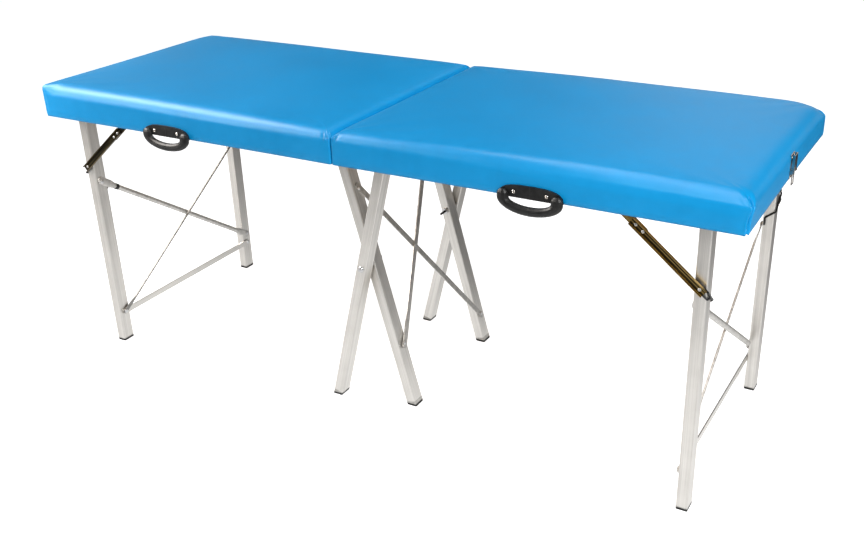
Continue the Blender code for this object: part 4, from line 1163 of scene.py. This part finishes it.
def fasten(name, body, kind, size, places, material=steel):
    """Set heads of one kind at (point, facing[, along]) places, as one mesh on a body."""
    mesh = bpy.data.meshes.new(name + "_points")
    mesh.from_pydata([place[0] for place in places], [], [])
    turns = mesh.attributes.new("turn", "FLOAT_VECTOR", "POINT")
    for item, place in zip(turns.data, places):
        item.vector = turn_to(*place[1:])
    points = put_in_scene(name + "_points", mesh)
    step = points.modifiers.new("fasteners", "NODES")
    step.node_group = fasteners
    step[sockets["Head"]] = heads[kind]
    step[sockets["Size"]] = size
    step[sockets["Finish"]] = material
    view = bpy.context.evaluated_depsgraph_get()
    made = bpy.data.meshes.new_from_object(points.evaluated_get(view))
    bpy.data.objects.remove(points, do_unlink=True)
    piece = put_in_scene(name, made)
    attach(piece, body)
    print(name, len(places), "heads,", len(made.polygons), "faces on", body)


# %% [markdown]
# ## Where the fasteners go
# Bars are straight, so two ends fix a line, and the point of that line over a leg's middle is
# where its bolt goes. Everything is read off the CAD boxes and joints. A box's low corner is its
# item 0 and its high corner item 1, so a side's sign picks the face on that side.

# %% Bolts and sleeves of the outer legs
LEG_BOLT = 0.0060
ROD_SINK = 0.003
NECK = 0.0457  # from a leg's middle to where the diagonal tube is round again
NECK_REACH = 0.008


def bar_at(name, y):
    """Point of a bar's middle line at a given y."""
    a, b = end_mean(name, 1, True), end_mean(name, 1, False)
    return a.lerp(b, (y - a.y) / (b.y - a.y))


for side, way in SIDES:
    frame_body, tube = f"{side}_leg_frame", f"{side}_diagonal_tube"
    near_y, far_y = (middle(f"{side}_{edge}_leg").y for edge, _ in EDGES)
    inner = max(-way, 0)
    flat_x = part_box(f"{side}_crossbar")[inner].x
    rod_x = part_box(f"{side}_diagonal_rod")[inner].x + way * ROD_SINK
    places = []
    for bar, y, x in (
        ("crossbar", far_y, flat_x), ("diagonal_tube", near_y, flat_x), ("diagonal_tube", far_y, flat_x),
        ("diagonal_rod", near_y, rod_x), ("diagonal_rod", far_y, rod_x),
    ):
        point = bar_at(f"{side}_{bar}", y)
        places.append(((x, point.y, point.z), (-way, 0, 0)))
    fasten(f"{side}_frame_bolts", frame_body, "low", LEG_BOLT, places)
    spots = [v.co for v in nodes[tube].data.vertices]
    collar = [p for p in spots if abs(p.y - near_y - NECK) < NECK_REACH]
    centre = sum(collar, Vector()) / len(collar)
    run = (bar_at(tube, far_y) - bar_at(tube, near_y)).normalized()
    girth = max((p - centre - run * (p - centre).dot(run)).length for p in collar)
    places = [(centre, run)]
    fasten(f"{side}_tube_sleeve", frame_body, "sleeve", girth, places, moulding)

# %% Rivets of the stays
STAY_RIVET = 0.0036
STAY_RIVETS_ALONG = (0.078, 0.097)
STAY_SHEET = 0.0015

for side, way in SIDES:
    for edge, out in EDGES:
        stay = f"{side}_{edge}_stay"
        pivot = joint_at[f"{stay}_swing"]
        tip = end_mean(f"{stay}_channel", 0, way < 0, CHANNEL_END)
        run = Vector((tip.x - pivot.x, 0, tip.z - pivot.z)).normalized()
        back = max(-out, 0)
        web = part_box(f"{stay}_channel")[back].y + out * STAY_SHEET
        to_leg = (middle(f"{side}_{edge}_leg").x - pivot.x) / run.x
        spots = [pivot + run * reach for reach in (*STAY_RIVETS_ALONG, to_leg)]
        places = [((p.x, web, p.z), (0, out, 0)) for p in spots]
        fasten(f"{stay}_rivets", stay, "rivet", STAY_RIVET, places)
        places = [((pivot.x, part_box(f"{stay}_bar")[back].y, pivot.z), (0, -out, 0))]
        fasten(f"{stay}_pivot", stay, "rivet", STAY_RIVET, places)

# %% [markdown]
# The two halves carry pin ends on their leg brackets, screws in the handles and the hinge, and
# staples along the hem. The staples sit a little askew, as a hand-held gun leaves them.

# %% Pins, screws and staples of the halves
PIN_HEAD = 0.0056
HANDLE_SCREW = 0.0042
HANDLE_SCREW_PITCH = 0.0714
HANDLE_SCREW_HEIGHT = 0.046  # above the handle's lowest point
HANDLE_PLATE = 0.006
HINGE_SCREW = 0.0034
HINGE_SCREW_PITCH = 0.066
HINGE_SCREW_LINE = 0.0105  # from the seam
HINGE_LEAF = 0.0014
STAPLE = 0.011
STAPLE_PITCH = 0.034
STAPLE_INSET = 0.015
STAPLE_SKEW = 0.3
SIDE_MARGIN, END_MARGIN = 0.045, 0.04  # left free of staples
DOWN = (0, 0, -1)


def staple_marks(length, margin):
    """Places of the staples along a side, from its margin on."""
    count = int((length - 2 * margin) / STAPLE_PITCH) + 1
    return [margin + k * STAPLE_PITCH for k in range(count)]


for side, way in SIDES:
    half = f"{side}_half"
    pivot = joint_at[f"{side}_leg_fold"]
    places = []
    for edge, _ in EDGES:
        for face, out in zip(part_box(f"{side}_{edge}_leg_bracket"), (-1, 1)):
            places.append(((pivot.x, face.y, pivot.z), (0, out, 0)))
    fasten(f"{side}_pin_heads", half, "rivet", PIN_HEAD, places)

    low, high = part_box(f"{side}_handle")
    x, y, z = middle(f"{side}_handle").x, high.y - HANDLE_PLATE, low.z + HANDLE_SCREW_HEIGHT
    places = [((x + s * HANDLE_SCREW_PITCH / 2, y, z), (0, -1, 0)) for s in (-1, 1)]
    fasten(f"{side}_handle_screws", half, "screw", HANDLE_SCREW, places, bright)

    low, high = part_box(f"{side}_hinge_leaf")
    count = int((high.y - low.y) / HINGE_SCREW_PITCH)
    ys = [table_y + (k - (count - 1) / 2) * HINGE_SCREW_PITCH for k in range(count)]
    places = [((way * HINGE_SCREW_LINE, y, high.z - HINGE_LEAF), DOWN) for y in ys]
    fasten(f"{side}_hinge_screws", half, "flush", HINGE_SCREW, places)

    cover = covers[side]
    hem_z = cover.low.z - HEM_DEPTH
    xs = [cover.seam + way * s for s in staple_marks(abs(cover.end - cover.seam), SIDE_MARGIN)]
    ys = [cover.low.y + s for s in staple_marks(cover.high.y - cover.low.y, END_MARGIN)]
    end_x = cover.end - way * STAPLE_INSET
    rows = (cover.low.y + STAPLE_INSET, cover.high.y - STAPLE_INSET)
    places = [((x, y, hem_z), DOWN, (1, STAPLE_SKEW, 0)) for y in rows for x in xs]
    places += [((end_x, y, hem_z), DOWN, (STAPLE_SKEW, 1, 0)) for y in ys]
    fasten(f"{side}_staples", half, "staple", STAPLE, places)

# %% [markdown]
# The centre legs have rivets at the ends and the crossing of their two strips, bolt heads where
# the pairs cross, and on the far side the bare thread of that bolt.

# %% Rivets and bolts of the centre legs
BRACE_RIVET = 0.0046
BRACE_REACH = 0.02
STRIP_HALF = 0.0012
STUD = 0.0030
CROSS_HEAD = 0.0062

lean_way = Vector((math.cos(LEAN), 0, math.sin(LEAN)))  # square to the inner legs
places, ends = [], []
for name in ("centre_brace_falling", "centre_brace_rising"):
    ends.append([bar_at(name, middle(f"inner_centre_{edge}_leg").y) for edge, _ in EDGES])
    spots = [v.co for v in nodes[name].data.vertices]
    for point in ends[-1]:
        skin = max((p - point).dot(lean_way) for p in spots if abs(p.y - point.y) < BRACE_REACH)
        places.append((point + lean_way * skin, lean_way))
near_gap, far_gap = (falling.z - rising.z for falling, rising in zip(*ends))
crossing = [near.lerp(far, near_gap / (near_gap - far_gap)) for near, far in ends]
outermost = max(crossing, key=lean_way.dot)
places.append((outermost + lean_way * STRIP_HALF, lean_way))
fasten("centre_brace_rivets", "inner_centre_legs", "rivet", BRACE_RIVET, places)

bolt = middle("centre_far_cross_bolt")
places = [((bolt.x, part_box("centre_far_cross_bolt")[0].y, bolt.z), (0, -1, 0))]
fasten("far_stud_end", "inner_centre_legs", "stud", STUD, places, wire_black)

cross_z = middle("centre_near_cross_bolt").z
places = []
for edge, out in EDGES:
    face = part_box(f"outer_centre_{edge}_leg")[max(out, 0)]
    places.append(((0, face.y, cross_z), (0, out, 0)))
fasten("outer_centre_bolt_heads", "outer_centre_legs", "bolt", CROSS_HEAD, places)

# %% [markdown]
# The latch's plate is held by four rivets and its keeper, on the other end, by two. After that
# the loose heads have done their work and are removed.

# %% Rivets of the latch
LATCH_RIVET = 0.0026
LATCH_SHEET = 0.002
LATCH_INSET, LATCH_FOOT = 0.005, 0.004
KEEPER_INSET = 0.006

low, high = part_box("latch_plate")
ys, zs = (low.y + LATCH_INSET, high.y - LATCH_INSET), (low.z + LATCH_FOOT, high.z - LATCH_INSET)
places = [((low.x + LATCH_SHEET, y, z), (1, 0, 0)) for y in ys for z in zs]
fasten("latch_rivets", "right_half", "rivet", LATCH_RIVET, places, bright)
low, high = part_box("latch_keeper")
x, z = high.x - LATCH_SHEET, high.z - KEEPER_INSET
places = [((x, y, z), (-1, 0, 0)) for y in (low.y + KEEPER_INSET, high.y - KEEPER_INSET)]
fasten("keeper_rivets", "left_half", "rivet", LATCH_RIVET, places, bright)

for head in heads.values():
    bpy.data.objects.remove(head, do_unlink=True)
